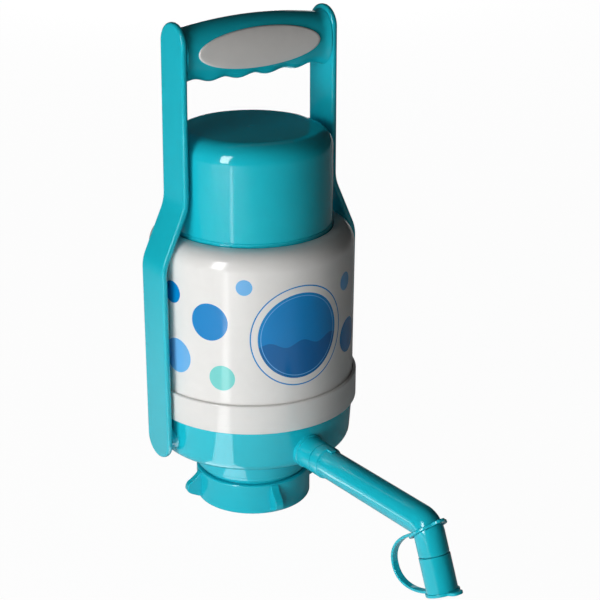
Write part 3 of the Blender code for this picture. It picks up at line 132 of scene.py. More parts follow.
class PumpSizes(bpy.types.PropertyGroup):
    """Sizes of the pump's visible pieces."""

    wall: length("Wall", "Wall of the moulded shells", 0.0024)
    edge: length("Edge rounding", "Small rounding on moulded edges", 0.0006)
    gap: length("Gap", "Space between neighbouring pieces", 0.0003)

    collar_radius: length("Collar radius", "Outer radius of the neck collar", 0.0330)
    collar_wall: length("Collar wall", "Wall of the neck collar at its thread", 0.0050)
    collar_thread: length("Collar thread", "Height of the thread that holds the bottle", 0.0070)
    collar_lip: length("Collar lip", "Height of the lip over the neck's flange", 0.0057)
    wing_reach: length("Wing reach", "How far a wing stands out of the collar", 0.0078)
    wing_thickness: length("Wing thickness", "Thickness of a wing", 0.0046)
    wing_edge: length("Wing edge rounding", "Rounding of a wing's edges", 0.0013)
    first_wing: rotation("First wing", "Turn of the first wing from the right", -12)

    neck_radius: length("Neck radius", "Radius of the neck above the collar", 0.0296)
    neck_bore: length("Neck bore", "Radius of the hole through the neck", 0.0240)
    bowl_bottom: length("Bowl bottom", "Height of the bowl's underside", 0.0371)
    bowl_round: length("Bowl rounding", "Rounding under the bowl", 0.0065)
    bowl_draft: length("Bowl draft", "How much the bowl widens to its top", 0.0017)
    throat_radius: length("Throat radius", "Radius of the throat under the bowl", 0.0334)
    throat_wall: length("Throat wall", "Wall of the throat", 0.0020)
    throat_step: length("Throat step", "How much each step of the throat goes in", 0.0009)
    throat_step_height: length("Throat step height", "Height of each step of the throat", 0.0022)

    boss_radius: length("Boss radius", "Radius of the bosses that hold the handle", 0.00825)
    barrel_round: length("Shoulder rounding", "Rounding of the barrel's shoulder", 0.0105)
    cap_radius: length("Cap radius", "Radius of the press cap at the barrel", 0.0448)
    cap_draft: length("Cap draft", "How much the press cap narrows to its top", 0.0004)
    cap_round: length("Cap rounding", "Rounding round the press cap's top", 0.0105)
    cap_groove: length("Cap groove", "Depth of the fine groove above the cap's foot", 0.0004)
    cap_lip: length("Cap lip", "Retaining lip of the press cap", 0.0034)

    arm_width: length("Arm width", "Width of a handle arm", 0.0225)
    arm_thickness: length("Arm thickness", "Thickness of a handle arm", 0.0034)
    arm_edge: length("Arm edge rounding", "Rounding of a handle arm's edges", 0.0014)
    arm_bend_round: length("Arm bend rounding", "Rounding of a handle arm's bends", 0.0220)
    pin_radius: length("Pivot pin radius", "Radius of the pin inside a handle arm", 0.0042)
    pin_reach: length("Pivot pin reach", "How far the pin goes into its boss", 0.0078)
    grip_flare: length("Grip flare", "How much the grip widens at its ends", 0.0016)
    wave_height: length("Wave height", "Height of the finger waves", 0.0008)
    insert_proud: length("Insert proud", "How far the insert stands out of the grip", 0.0009)

    spout_height: length("Spout height", "Height of the spout's socket", 0.0469)
    spout_radius: length("Spout radius", "Outer radius of the spout", 0.0080)
    spout_wall: length("Spout wall", "Wall of the spout", 0.0024)
    spigot_step: length("Spigot step", "How much the spigot is thinner than the spout", 0.0010)
    spout_collar: length("Spout collar", "Length of the keyed collar at the socket", 0.0070)
    spout_bend: length("Spout bend", "Radius of the bend's centre line", 0.0086)
    spout_reach: length("Spout reach", "From the socket's end to the bend's corner", 0.0909)
    spout_lift: length("Spout lift", "How far the bend's corner lies above the socket", 0.0014)
    outlet_length: length("Outlet length", "From the bend's corner to the tip", 0.0338)
    tip_step: length("Tip step", "How much the tip is thinner than the spout", 0.0013)
    sleeve_from: length("Sleeve start", "From the bend's corner to the cap's sleeve", 0.0158)
    sleeve_wall: length("Sleeve wall", "Wall of the spout cap", 0.0012)
    strap_width: length("Strap width", "Width of the flexible strap", 0.0038)
    strap_thickness: length("Strap thickness", "Thickness of the flexible strap", 0.0015)
    strap_bulge: length("Strap bulge", "How far the strap bows out", 0.0265)
    strap_sag: length("Strap sag", "How far the strap's bow lies towards the tip", 0.0018)
    ring_thickness: length("Ring thickness", "Thickness of the strap's ring", 0.0016)
    ring_radius: length("Ring radius", "Outer radius of the strap's ring", 0.0105)
    ring_slack: length("Ring slack", "Space between the spout and the strap's ring", 0.0008)
    ring_back: rotation("Ring back", "How far back on the bend the strap's ring sits", 20)
    floor_thickness: length("Cap floor", "Thickness of the spout cap's floor", 0.0017)
    flange_step: length("Flange step", "How far the flange stands out of the sleeve", 0.0008)
    tab_reach: length("Tab reach", "How far a pull tab stands out", 0.0140)
    tab_width: length("Tab width", "Width of a pull tab", 0.0070)

    spring_wire: length("Spring wire", "Radius of the return spring's wire", 0.0011)

    badge_radius: length("Badge radius", "Radius of the printed badge", 0.0285)
    badge_height: length("Badge height", "Height of the badge's centre", 0.1170)

    spring_turns: amount("Spring turns", "Turns of the return spring", 10)
    throat_steps: amount("Throat steps", "Number of steps on the throat", 2)
    wing_count: amount("Wings", "Number of wings on the collar", 4, 2)
    wave_count: amount("Waves", "Number of finger waves", 5)


class PumpColours(bpy.types.PropertyGroup):
    """Colours of the pump's finishes."""

    teal: colour("Teal", "Gloss plastic of base, cap and handle", (0.010, 0.530, 0.650))
    white: colour("White", "Gloss plastic of the barrel", (0.820, 0.810, 0.790))
    band: colour("Band", "Gloss plastic of the lock band", (0.790, 0.780, 0.760))
    grey: colour("Grey", "Soft insert of the grip", (0.780, 0.760, 0.735))
    blue: colour("Blue", "Blue print", (0.001, 0.235, 0.600))
    deep_blue: colour("Deep blue", "Darkest print", (0.001, 0.135, 0.400))
    sky: colour("Sky blue", "Light blue print", (0.150, 0.460, 0.840))
    aqua: colour("Aqua", "Aqua print", (0.190, 0.680, 0.650))
    natural: colour("Natural", "Uncoloured plastic inside", (0.720, 0.740, 0.730))
    rubber: colour("Rubber", "Seals and valve discs", (0.030, 0.030, 0.032))
    steel: colour("Steel", "Screws and spring", (0.560, 0.560, 0.570))
    floor: colour("Floor", "Floor and backdrop", (0.900, 0.900, 0.900))


def sizes():
    """The sizes in use."""
    return bpy.context.scene.pump_sizes


def colours():
    """The colours in use."""
    return bpy.context.scene.pump_colours


def feed(tree, node, inputs):
    """Set a node's inputs to values, or link them to sockets."""
    for key, value in inputs.items():
        if isinstance(value, bpy.types.NodeSocket):
            tree.links.new(value, node.inputs[key])
        else:
            node.inputs[key].default_value = value
    return node


def add_node(tree, kind, place, inputs=None, **settings):
    """A shader node at a place in the tree, with its settings and inputs."""
    node = tree.nodes.new(kind)
    node.location = place
    for name, value in settings.items():
        setattr(node, name, value)
    return feed(tree, node, inputs or {})


def add_math(tree, place, operation, *values):
    """The result of a Math node on values or sockets."""
    return add_node(tree, "ShaderNodeMath", place, dict(enumerate(values)), operation=operation).outputs[0]


def node_group(name, inputs, outputs, build):
    """A shader node group with float inputs, whose outputs a function builds once."""
    tree = bpy.data.node_groups.get(name)
    if tree is None:
        tree = bpy.data.node_groups.new(name, "ShaderNodeTree")
        for label in inputs:
            tree.interface.new_socket(label, in_out="INPUT", socket_type="NodeSocketFloat")
        for label, kind in outputs.items():
            tree.interface.new_socket(label, in_out="OUTPUT", socket_type=kind)
        results = build(tree, add_node(tree, "NodeGroupInput", (-900, 0)).outputs)
        add_node(tree, "NodeGroupOutput", (700, 0), dict(zip(outputs, results)))
    return tree


def build_skin(tree, given):
    """Faint ripple, grain and handling marks of a moulded surface: its tone, roughness and normal."""
    place = add_node(tree, "ShaderNodeTexCoord", (-900, -300)).outputs["Object"]
    grain, ripple, smear = (
        add_node(tree, "ShaderNodeTexNoise", (-600, high), {"Vector": place, **noise}).outputs["Fac"]
        for high, noise in ((200, {"Scale": given["Grain Scale"], "Detail": 3.0}),
                            (-50, {"Scale": 38.0, "Detail": 1.0}),
                            (-300, {"Scale": 90.0, "Detail": 6.0, "Distortion": 1.2})))
    fine = add_node(tree, "ShaderNodeBump", (-200, 200), {
        "Distance": 0.0002, "Strength": given["Grain Depth"], "Height": grain}).outputs["Normal"]
    broad = add_node(tree, "ShaderNodeBump", (100, 100), {
        "Distance": 0.0015, "Strength": given["Ripple Depth"], "Height": ripple, "Normal": fine})
    centred = add_math(tree, (-200, -150), "SUBTRACT", smear, 0.5)
    rough = add_math(tree, (100, -150), "MULTIPLY_ADD", centred,
                     given["Roughness Spread"], given["Roughness"])
    tone = add_math(tree, (100, -350), "MULTIPLY_ADD", centred, 0.06, 1.0)
    return tone, rough, broad.outputs["Normal"]


def build_disc(tree, given):
    """Mask of a round print with an open middle, on unrolled barrel coordinates."""
    offsets = [add_math(tree, (-650, -200 * row), "SUBTRACT", given[axis], given["Centre " + axis])
               for row, axis in enumerate(("Along", "Height"))]
    joined = add_node(tree, "ShaderNodeCombineXYZ", (-450, 0), dict(enumerate(offsets))).outputs[0]
    reach = add_node(tree, "ShaderNodeVectorMath", (-250, 0), {0: joined},
                     operation="LENGTH").outputs["Value"]
    inside = add_math(tree, (0, 100), "LESS_THAN", reach, given["Radius"])
    outside = add_math(tree, (0, -100), "GREATER_THAN", reach, given["Open Radius"])
    return [add_math(tree, (300, 0), "MULTIPLY", inside, outside)]


def finish(name):
    """A Principled material with the moulded skin on it, made once."""
    found = bpy.data.materials.get(name)
    if found is not None:
        return found
    _, hue, roughness, spread, grain, ripple, scale, metallic = FINISHES[name]
    base = getattr(colours(), hue)
    found = bpy.data.materials.new(name)
    found.use_nodes = True
    found.diffuse_color = (*base, 1.0)
    tree = found.node_tree
    given = {"Grain Scale": scale, "Grain Depth": grain, "Ripple Depth": ripple, "Roughness": roughness,
             "Roughness Spread": spread}
    kinds = {"Tone": "NodeSocketFloat", "Roughness": "NodeSocketFloat", "Normal": "NodeSocketVector"}
    skin = add_node(tree, "ShaderNodeGroup", (-500, -200), given,
                    node_tree=node_group("moulded_skin", given, kinds, build_skin)).outputs
    ground = barrel_prints(tree, base) if name == "white_printed" else tuple(base)
    shade = add_node(tree, "ShaderNodeVectorMath", (-250, 100), {0: ground, "Scale": skin["Tone"]},
                     operation="SCALE").outputs[0]
    feed(tree, tree.nodes["Principled BSDF"], {
        "Base Color": shade, "Roughness": skin["Roughness"], "Normal": skin["Normal"], "Metallic": metallic})
    return found


def barrel_coordinates(tree, radius):
    """Distance round the barrel from its front, and height, from object coordinates."""
    place = add_node(tree, "ShaderNodeTexCoord", (-2600, 300)).outputs["Object"]
    split = add_node(tree, "ShaderNodeSeparateXYZ", (-2400, 300), {0: place}).outputs
    back = add_math(tree, (-2200, 200), "MULTIPLY", split["Y"], -1.0)
    turn = add_math(tree, (-2000, 300), "ARCTAN2", split["X"], back)
    return add_math(tree, (-1800, 300), "MULTIPLY", turn, radius), split["Z"]


def add_print(tree, below, spot, centre, radius, open_radius, ink, row):
    """Lay one round print over the colour below it."""
    high = 400 - 260 * row
    given = {"Along": spot[0], "Height": spot[1], "Centre Along": centre[0], "Centre Height": centre[1],
             "Radius": radius, "Open Radius": open_radius}
    group = node_group("printed_disc", given, {"Mask": "NodeSocketFloat"}, build_disc)
    disc = add_node(tree, "ShaderNodeGroup", (-1500, high), given, node_tree=group)
    ink = ink if isinstance(ink, bpy.types.NodeSocket) else (*ink, 1.0)
    return add_node(tree, "ShaderNodeMix", (-1200, high), {
        "Factor": disc.outputs["Mask"], "A": below, "B": ink}, data_type="RGBA").outputs["Result"]


def wave_ink(tree, along, height, low, high):
    """Two blues that meet in a soft water line, for the badge's middle."""
    waves, depth, level, blur = 330.0, 0.0016, sizes().badge_height - 0.0041, 0.0001
    bend = add_math(tree, (-2300, -700), "MULTIPLY", along, waves)
    swing = add_math(tree, (-2100, -700), "SINE", bend)
    lifted = add_math(tree, (-1900, -700), "MULTIPLY_ADD", swing, depth, height)
    ramp = add_node(tree, "ShaderNodeMapRange", (-1700, -700), {
        "Value": lifted, "From Min": level - blur, "From Max": level + blur})
    return add_node(tree, "ShaderNodeMix", (-1450, -700), {
        "Factor": ramp.outputs["Result"], "A": (*low, 1.0), "B": (*high, 1.0)},
        data_type="RGBA").outputs["Result"]


def barrel_prints(tree, base):
    """Generic dots and rings round the barrel, and a plain round badge in front."""
    tones, made = colours(), sizes()
    radius = node_high("barrel").x
    foot, top = node_high("lock_band").z, node_high("barrel").z - made.barrel_round
    spot = barrel_coordinates(tree, radius)
    ground = add_node(tree, "ShaderNodeRGB", (-1500, 700))
    ground.outputs[0].default_value = (*base, 1.0)
    result = ground.outputs[0]
    # Dot: degrees round from the front, share of the height, radius, ink
    dots = (
        (-82.0, 0.78, 0.0062, tones.blue), (-79.0, 0.30, 0.0098, tones.sky),
        (-57.0, 0.62, 0.0105, tones.blue), (-50.0, 0.20, 0.0072, tones.aqua),
        (-37.5, 0.90, 0.0044, tones.sky), (-108.0, 0.55, 0.0110, tones.aqua),
        (29.0, 0.80, 0.0052, tones.sky), (34.0, 0.36, 0.0100, tones.blue),
        (55.0, 0.66, 0.0080, tones.aqua), (78.0, 0.28, 0.0060, tones.blue),
    )
    prints = [(turn, foot + (top - foot) * share, size, 0.0, ink) for turn, share, size, ink in dots]
    # Badge: outer and inner radius as shares of its own, ink
    waves = wave_ink(tree, *spot, tones.deep_blue, tones.blue)
    for outer, inner, ink in (
            (1.0, 0.0, tones.blue), (0.975, 0.0, base), (0.85, 0.0, waves), (0.80, 0.785, tones.sky)):
        prints.append((-6.0, made.badge_height, made.badge_radius * outer, made.badge_radius * inner, ink))
    for row, (turn, level, size, hole, ink) in enumerate(prints):
        result = add_print(tree, result, spot, (math.radians(turn) * radius, level), size, hole, ink, row)
    return result


def finished_piece(name, shape, look, body, nodes, sharp_deg=35.0):
    """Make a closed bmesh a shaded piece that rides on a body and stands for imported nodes."""
    bmesh.ops.recalc_face_normals(shape, faces=shape.faces)
    mesh = bpy.data.meshes.new(name)
    shape.to_mesh(mesh)
    shape.free()
    mesh.shade_smooth()
    mesh.set_sharp_from_angle(angle=math.radians(sharp_deg))
    mesh.materials.append(finish(look))
    piece = bpy.data.objects.new(name, mesh)
    bpy.context.scene.collection.objects.link(piece)
    weighted = piece.modifiers.new("weighted_normals", "WEIGHTED_NORMAL")
    weighted.keep_sharp = True
    if body:
        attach(piece, body)
    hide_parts(*nodes)
    return piece


def rounded(shape, geom, width, affect, segments, clamp=False):
    """Round some corners or edges of a shape."""
    bmesh.ops.bevel(shape, geom=geom, offset=width, offset_type="OFFSET", affect=affect, segments=segments,
                    profile=0.5, material=-1, clamp_overlap=clamp)


def turned(shape, corners, steps=128, segments=6):
    """Turn a profile round +Z into a closed shape; its corners are (radius, height, rounding)."""
    profile = bmesh.new()
    verts = [profile.verts.new((radius, 0, height)) for radius, height, _ in corners]
    profile.faces.new(verts)
    for index, (radius, height, rounding) in enumerate(corners):
        if rounding > 0:
            here = Vector((radius, height))
            before = Vector(corners[index - 1][:2]) - here
            after = Vector(corners[(index + 1) % len(corners)][:2]) - here
            reach = rounding / math.tan(before.angle(after) / 2)
            rounded(profile, [verts[index]], reach, "VERTICES", segments)
    bmesh.ops.delete(profile, geom=profile.faces[:], context="FACES_ONLY")
    bmesh.ops.spin(profile, geom=profile.verts[:] + profile.edges[:], cent=(0, 0, 0), axis=UP,
                   dvec=(0, 0, 0), angle=math.tau, steps=steps, use_merge=True,
                   use_normal_flip=False, use_duplicate=False)
    bmesh.ops.remove_doubles(profile, verts=profile.verts, dist=1e-7)
    loose = [edge for edge in profile.edges if not edge.link_faces]
    bmesh.ops.delete(profile, geom=loose, context="EDGES")
    join(shape, profile)


def join(shape, other, matrix=None):
    """Move another bmesh's geometry into the shape and free it."""
    if matrix is not None:
        bmesh.ops.transform(other, matrix=matrix, verts=other.verts)
    bmesh.ops.recalc_face_normals(other, faces=other.faces)
    mesh = bpy.data.meshes.new("passing")
    other.to_mesh(mesh)
    other.free()
    shape.from_mesh(mesh)
    bpy.data.meshes.remove(mesh)


def facing(centre, direction, radius=1.0):
    """Matrix that carries a unit circle round +Z to a centre, a direction and a radius."""
    turn = UP.rotation_difference(Vector(direction)).to_matrix().to_4x4()
    return Matrix.Translation(centre) @ turn @ Matrix.Diagonal((radius, radius, 1.0, 1.0))


def swept(shape, stops, sides=64, closed=False):
    """A skin through circles, each a (centre, direction, radius); closed joins last to first."""
    skin = bmesh.new()
    bmesh.ops.create_circle(skin, cap_ends=False, segments=sides, radius=1.0, matrix=facing(*stops[0]))
    first = skin.edges[:]
    ring = first
    for before, after in zip(stops, stops[1:]):
        made = bmesh.ops.extrude_edge_only(skin, edges=ring)["geom"]
        verts = [item for item in made if isinstance(item, bmesh.types.BMVert)]
        fresh = set(verts)
        ring = [item for item in made if isinstance(item, bmesh.types.BMEdge)
                and item.verts[0] in fresh and item.verts[1] in fresh]
        bmesh.ops.transform(skin, matrix=facing(*after) @ facing(*before).inverted(), verts=verts)
    if closed:
        bmesh.ops.bridge_loops(skin, edges=first + ring)
    else:
        bmesh.ops.edgeloop_fill(skin, edges=first)
        bmesh.ops.edgeloop_fill(skin, edges=ring)
    join(shape, skin)


def soften(shape, width, segments=3, angle_deg=40.0):
    """Round the edges of a shape that are sharper than an angle."""
    sharp = [edge for edge in shape.edges if len(edge.link_faces) == 2
             and edge.calc_face_angle() > math.radians(angle_deg)]
    rounded(shape, sharp, width, "EDGES", segments, clamp=True)


def thickened(shape, thickness):
    """Extrude a flat shape along Z."""
    made = bmesh.ops.extrude_face_region(shape, geom=shape.faces[:])["geom"]
    fresh = [item for item in made if isinstance(item, bmesh.types.BMVert)]
    bmesh.ops.translate(shape, vec=(0, 0, thickness), verts=fresh)
    bmesh.ops.recalc_face_normals(shape, faces=shape.faces)


def sliced(shape, axis, places):
    """Cut a shape across an axis, so that it can be bent."""
    for place in places:
        bmesh.ops.bisect_plane(shape, geom=shape.verts[:] + shape.edges[:] + shape.faces[:],
                               plane_co=axis * place, plane_no=axis, dist=1e-7)


def flat_plate(outline, thickness, rounding, segments=8):
    """A flat outline in the XY plane, its corners rounded, given a thickness about that plane."""
    shape = bmesh.new()
    verts = [shape.verts.new((x, y, 0)) for x, y in outline]
    shape.faces.new(verts)
    for vert, radius in zip(verts, rounding):
        if radius > 0:
            rounded(shape, [vert], radius, "VERTICES", segments)
    thickened(shape, thickness)
    bmesh.ops.translate(shape, vec=(0, 0, -thickness / 2), verts=shape.verts)
    return shape


class PUMP_OT_base(bpy.types.Operator):
    """Bowl, throat and neck in one moulding, with pivot bosses and the spout's socket"""

    bl_idname = "pump.base"
    bl_label = "Base Housing"

    def execute(self, context):
        made = sizes()
        shape = bmesh.new()
        turned(shape, self.profile(made), segments=8)
        self.add_bosses(shape, made)
        self.add_socket(shape, made)
        finished_piece("base_shell", shape, "teal_gloss", "base", ["base_housing"])
        return {"FINISHED"}

    def profile(self, made):
        """Outer side from the rim down, then the inner side back up."""
        rim_r = node_high("barrel").x - made.wall
        rim_top = node_high("base_housing").z
        shoulder = node_low("lock_band").z - made.gap
        low_r = node_high("barrel").x - made.bowl_draft
        neck_low = node_low("base_housing").z
        throat = node_high("neck_collar").z + made.edge
        flange_r = node_high("neck_gasket").x
        floor = made.bowl_bottom + made.wall
        inner_r = made.throat_radius - made.throat_wall
        corners = [
            (rim_r, rim_top, 0), (rim_r, shoulder, 0),
            (node_high("barrel").x, shoulder, made.edge),
            (low_r, made.bowl_bottom, made.bowl_round),
            (made.throat_radius, made.bowl_bottom, made.edge * 1.5),
        ]
        radius = made.throat_radius
        for above in range(made.throat_steps, 0, -1):
            height = throat + made.throat_step_height * above
            corners.append((radius, height, made.edge / 2))
            radius -= made.throat_step
            corners.append((radius, height - made.throat_step / 2, made.edge / 3))
        corners += [
            (radius, throat + made.throat_step_height / 2, made.edge),
            (made.neck_radius, throat, 0), (made.neck_radius, neck_low + made.wall, 0),
            (flange_r, neck_low + made.wall, 0), (flange_r, neck_low, 0), (made.neck_bore, neck_low, 0),
            (made.neck_bore, throat + made.wall, 0), (inner_r, throat + made.wall * 3, 0),
            (inner_r, floor, 0), (low_r - made.wall, floor, made.bowl_round - made.wall),
            (rim_r - made.wall, shoulder, 0), (rim_r - made.wall, rim_top, 0),
        ]
        return corners

    def add_bosses(self, shape, made):
        """A round boss on each side with a small fillet at its foot."""
        end, foot = node_high("base_housing").x, node_high("barrel").x - made.bowl_draft
        radius, soft = made.boss_radius, made.edge
        for side in (-1, 1):
            out = Vector((side, 0, 0))
            swept(shape, [(UP * PIVOT.z + out * reach, out, size) for reach, size in (
                (foot - made.wall, radius + made.wall), (foot - soft, radius + soft * 2),
                (foot + soft, radius + soft * 0.6), (foot + soft * 2.5, radius),
                (end - soft * 0.7, radius), (end, radius - soft * 0.7))])

    def add_socket(self, shape, made):
        """The socket in front, with its foot ring and its bore."""
        end, foot = -node_low("base_housing").y, node_high("barrel").x - made.bowl_draft
        bore = made.spout_radius - made.spigot_step + made.gap
        outer, soft = node_high("spout").x, made.edge
        ring_step, ring_length, root = 0.0007, 0.0026, 0.0082
        ring, ring_end, back = outer + ring_step, foot + ring_length, foot - root
        swept(shape, [(UP * made.spout_height + FRONT * reach, FRONT, size) for reach, size in (
            (back, bore), (back, ring), (ring_end - soft, ring), (ring_end - soft * 0.3, ring - soft * 0.3),
            (ring_end, outer), (end - soft, outer), (end - soft * 0.3, outer - soft * 0.3),
            (end, outer - soft), (end, bore))], closed=True)


class PUMP_OT_band(bpy.types.Operator):
    """White ring round the joint of base and barrel"""

    bl_idname = "pump.band"
    bl_label = "Lock Band"

    def execute(self, context):
        made = sizes()
        low, high = node_low("lock_band").z, node_high("lock_band").z
        outer, bore = node_high("lock_band").x, node_high("barrel").x + made.gap
        lip = node_high("barrel").x - made.wall + made.gap
        shape = bmesh.new()
        turned(shape, [
            (outer, high, made.edge * 1.5), (outer, low, made.edge * 1.5), (lip, low, 0),
            (lip, low + made.wall, 0), (bore, low + made.wall, 0), (bore, high, made.edge / 2),
        ])
        finished_piece("lock_band_shell", shape, "band_gloss", "base", ["lock_band"])
        return {"FINISHED"}


class PUMP_OT_barrel(bpy.types.Operator):
    """White barrel with a rounded shoulder and its prints"""

    bl_idname = "pump.barrel"
    bl_label = "Barrel"

    def execute(self, context):
        made = sizes()
        low, high = node_low("barrel"), node_high("barrel")
        hole = made.cap_radius + made.gap + SLACK
        wall = high.x - made.wall
        spigot = wall + made.gap
        rim = node_high("base_housing").z + made.gap
        shape = bmesh.new()
        turned(shape, [
            (hole, high.z, made.edge), (high.x, high.z, made.barrel_round), (high.x, low.z, 0),
            (spigot, low.z, 0), (spigot, rim, 0), (wall, rim, 0),
            (wall, high.z - made.wall, made.barrel_round - made.wall), (hole, high.z - made.wall, 0),
        ], segments=12, steps=160)
        finished_piece("barrel_shell", shape, "white_printed", "base", ["barrel"])
        return {"FINISHED"}


class PUMP_OT_cap(bpy.types.Operator):
    """Teal dome that is pressed down, with its skirt, lip and gate mark"""

    bl_idname = "pump.cap"
    bl_label = "Press Cap"

    def execute(self, context):
        made = sizes()
        top, skirt = node_high("press_cap").z, node_low("press_cap").z
        top_r = made.cap_radius - made.cap_draft
        inner = made.cap_radius - made.wall
        roof = top - made.wall
        barrel_top = node_high("barrel").z
        lip_top = barrel_top - made.wall - made.gap
        lip_r = made.cap_radius + made.cap_lip
        gate = 0.0016
        groove = barrel_top + made.cap_groove * 5
        shape = bmesh.new()
        turned(shape, [
            (0, top - gate / 4, 0), (gate, top - gate / 4, 0), (gate * 1.4, top, 0),
            (top_r, top, made.cap_round), (made.cap_radius, groove + made.cap_groove, 0),
            (made.cap_radius - made.cap_groove, groove, 0), (made.cap_radius, groove - made.cap_groove, 0),
            (made.cap_radius, barrel_top, 0),
            (made.cap_radius, lip_top, 0), (lip_r, lip_top, 0), (lip_r, lip_top - made.wall, 0),
            (made.cap_radius, lip_top - made.wall, 0), (made.cap_radius, skirt, made.edge),
            (inner, skirt, made.edge), (top_r - made.wall, roof, made.cap_round - made.wall), (0, roof, 0),
        ], segments=14, steps=160)
        finished_piece("press_cap_shell", shape, "teal_gloss", "head", ["press_cap"])
        return {"FINISHED"}


def arm_reach(height, made):
    """How far an arm's outer face stands from the middle at a height, and its slope."""
    points = arm_corners(made)
    for index in (1, 2):
        here, before, after = points[index], points[index - 1], points[index + 1]
        arm_in, arm_out = before - here, after - here
        half = arm_in.angle(arm_out) / 2
        reach = made.arm_bend_round / math.tan(half)
        start, end = here + arm_in.normalized() * reach, here + arm_out.normalized() * reach
        if start.y <= height <= end.y:
            middle = here + (arm_in.normalized() + arm_out.normalized()).normalized() * (
                made.arm_bend_round / math.sin(half))
            side = 1 if here.x > middle.x else -1
            across = math.sqrt(max(made.arm_bend_round ** 2 - (height - middle.y) ** 2, 0.0))
            return middle.x + side * across, side * (middle.y - height) / max(across, 1e-6)
    for before, after in zip(points, points[1:]):
        if height <= after.y or after is points[-1]:
            slope = (after.x - before.x) / (after.y - before.y)
            return before.x + slope * (height - before.y), slope
    raise ValueError("height is outside the arm")


def arm_corners(made):
    """The corners of an arm's outer face, as (out from the middle, height)."""
    low, high = node_low("right_arm"), node_high("right_arm")
    foot_x = node_high("base_housing").x + made.gap + made.arm_thickness
    top_x = node_low("right_arm").x + made.arm_thickness
    barrel_top = node_high("barrel").z
    below, above, lean = 0.0120, 0.0190, 0.0006
    return (Vector((foot_x, low.z)), Vector((high.x, barrel_top - below)),
            Vector((top_x + lean, barrel_top + above)), Vector((top_x, high.z)))


def arm_blank(made):
    """A flat bar with round ends, cut into short lengths so that it can be bent."""
    low, high = node_low("right_arm").z, node_high("right_arm").z
    half = made.arm_width / 2
    shape = bmesh.new()
    bmesh.ops.create_circle(shape, cap_ends=True, segments=64, radius=half)
    upper = [vert for vert in shape.verts if vert.co.y > 0]
    bmesh.ops.translate(shape, vec=(0, high - low - 2 * half, 0), verts=upper)
    bmesh.ops.translate(shape, vec=(0, low + half, 0), verts=shape.verts)
    thickened(shape, -made.arm_thickness)
    soften(shape, made.arm_edge, 4, 60.0)
    _, low_bend, top_bend, _ = arm_corners(made)
    start, end = low_bend.y - made.arm_bend_round / 2, top_bend.y + made.arm_bend_round / 2
    cuts = 44
    sliced(shape, Vector((0, 1, 0)), [start + (end - start) * cut / cuts for cut in range(cuts + 1)])
    return shape


class PUMP_OT_handle(bpy.types.Operator):
    """Two bent arms with the grip and its soft insert between them"""

    bl_idname = "pump.handle"
    bl_label = "Swing Handle"

    def execute(self, context):
        made = sizes()
        for name, side in (("left_arm", -1), ("right_arm", 1)):
            self.add_arm(name, side, made)
        self.add_grip(made)
        self.add_insert(made)
        return {"FINISHED"}

    def add_arm(self, name, side, made):
        """Bend the flat blank, and put the pivot pin inside its foot."""
        shape = arm_blank(made)
        for vert in shape.verts:
            across, height, depth = vert.co
            reach, slope = arm_reach(height, made)
            normal = Vector((1.0, -slope)).normalized()
            vert.co = (side * (reach + depth * normal.x), across, height + depth * normal.y)
        foot = node_high("base_housing").x + made.gap
        inward = Vector((-side, 0, 0))
        start = Vector((side * (foot + made.arm_thickness / 2), 0, PIVOT.z))
        pin = made.pin_reach + made.arm_thickness / 2
        swept(shape, [(start, inward, made.pin_radius),
                      (start + inward * (pin - made.edge), inward, made.pin_radius),
                      (start + inward * pin, inward, made.pin_radius - made.edge)], sides=48)
        finished_piece(name + "_shell", shape, "teal_gloss", "handle", [name])

    def add_grip(self, made):
        """Grip lofted along its length, with finger waves underneath."""
        half = node_high("grip").x
        shape = bmesh.new()
        lay = Matrix.Rotation(math.radians(90), 4, "Y")
        bmesh.ops.create_cone(shape, cap_ends=True, segments=72, radius1=1.0, radius2=1.0,
                              depth=2 * half, matrix=lay)
        cuts = 90
        sliced(shape, Vector((1, 0, 0)), [-half + 2 * half * cut / cuts for cut in range(1, cuts)])
        for vert in shape.verts:
            vert.co = grip_point(vert.co.x, math.atan2(vert.co.z, -vert.co.y), made)
        finished_piece("grip_shell", shape, "teal_gloss", "handle", ["grip"], 60.0)

    def add_insert(self, made):
        """Soft oval pad, laid on the grip's front with a rounded rim."""
        low, high = node_low("grip_insert"), node_high("grip_insert")
        half_l, half_h, middle = (high.x - low.x) / 2, (high.z - low.z) / 2, (high.z + low.z) / 2
        proud, sunk = made.insert_proud, -0.0016
        shape = bmesh.new()
        rings = [(share, proud, 0) for share in (0.15, 0.3, 0.45, 0.6, 0.72, 0.82, 0.90, 0.955)]
        turned(shape, [(0, proud, 0), *rings, (0.985, proud * 0.9, 0), (0.996, proud * 0.6, 0),
                       (1.0, proud * 0.2, 0), (1.0, sunk, 0), (0, sunk, 0)], steps=128, segments=1)
        for vert in shape.verts:
            x, height = vert.co.x * half_l, middle + vert.co.y * half_h
            vert.co = (x, -(grip_front(x, height, made) + vert.co.z), height)
        finished_piece("grip_insert_pad", shape, "grey_soft", "handle", ["grip_insert"], 60.0)


def grip_section(x, made):
    """Half height, half depth, middle and wave of the grip's section at a place along it."""
    half_l, flare_length = node_high("grip").x, 0.0050
    end_h, end_d, swell_h, swell_d = 0.0135, 0.0095, 0.0028, 0.00075
    drop, arch = 0.0176, 0.0010
    swell = 1 - (abs(x) / half_l) ** 2
    flare = made.grip_flare * max(0.0, 1 - (half_l - abs(x)) / flare_length) ** 2
    wave = made.wave_height * math.cos(math.pi * made.wave_count * x / half_l) * min(1.0, 4 * swell)
    return (end_h + swell_h * swell + flare, end_d + swell_d * swell + flare,
            node_high("right_arm").z - drop + arch * swell, wave)


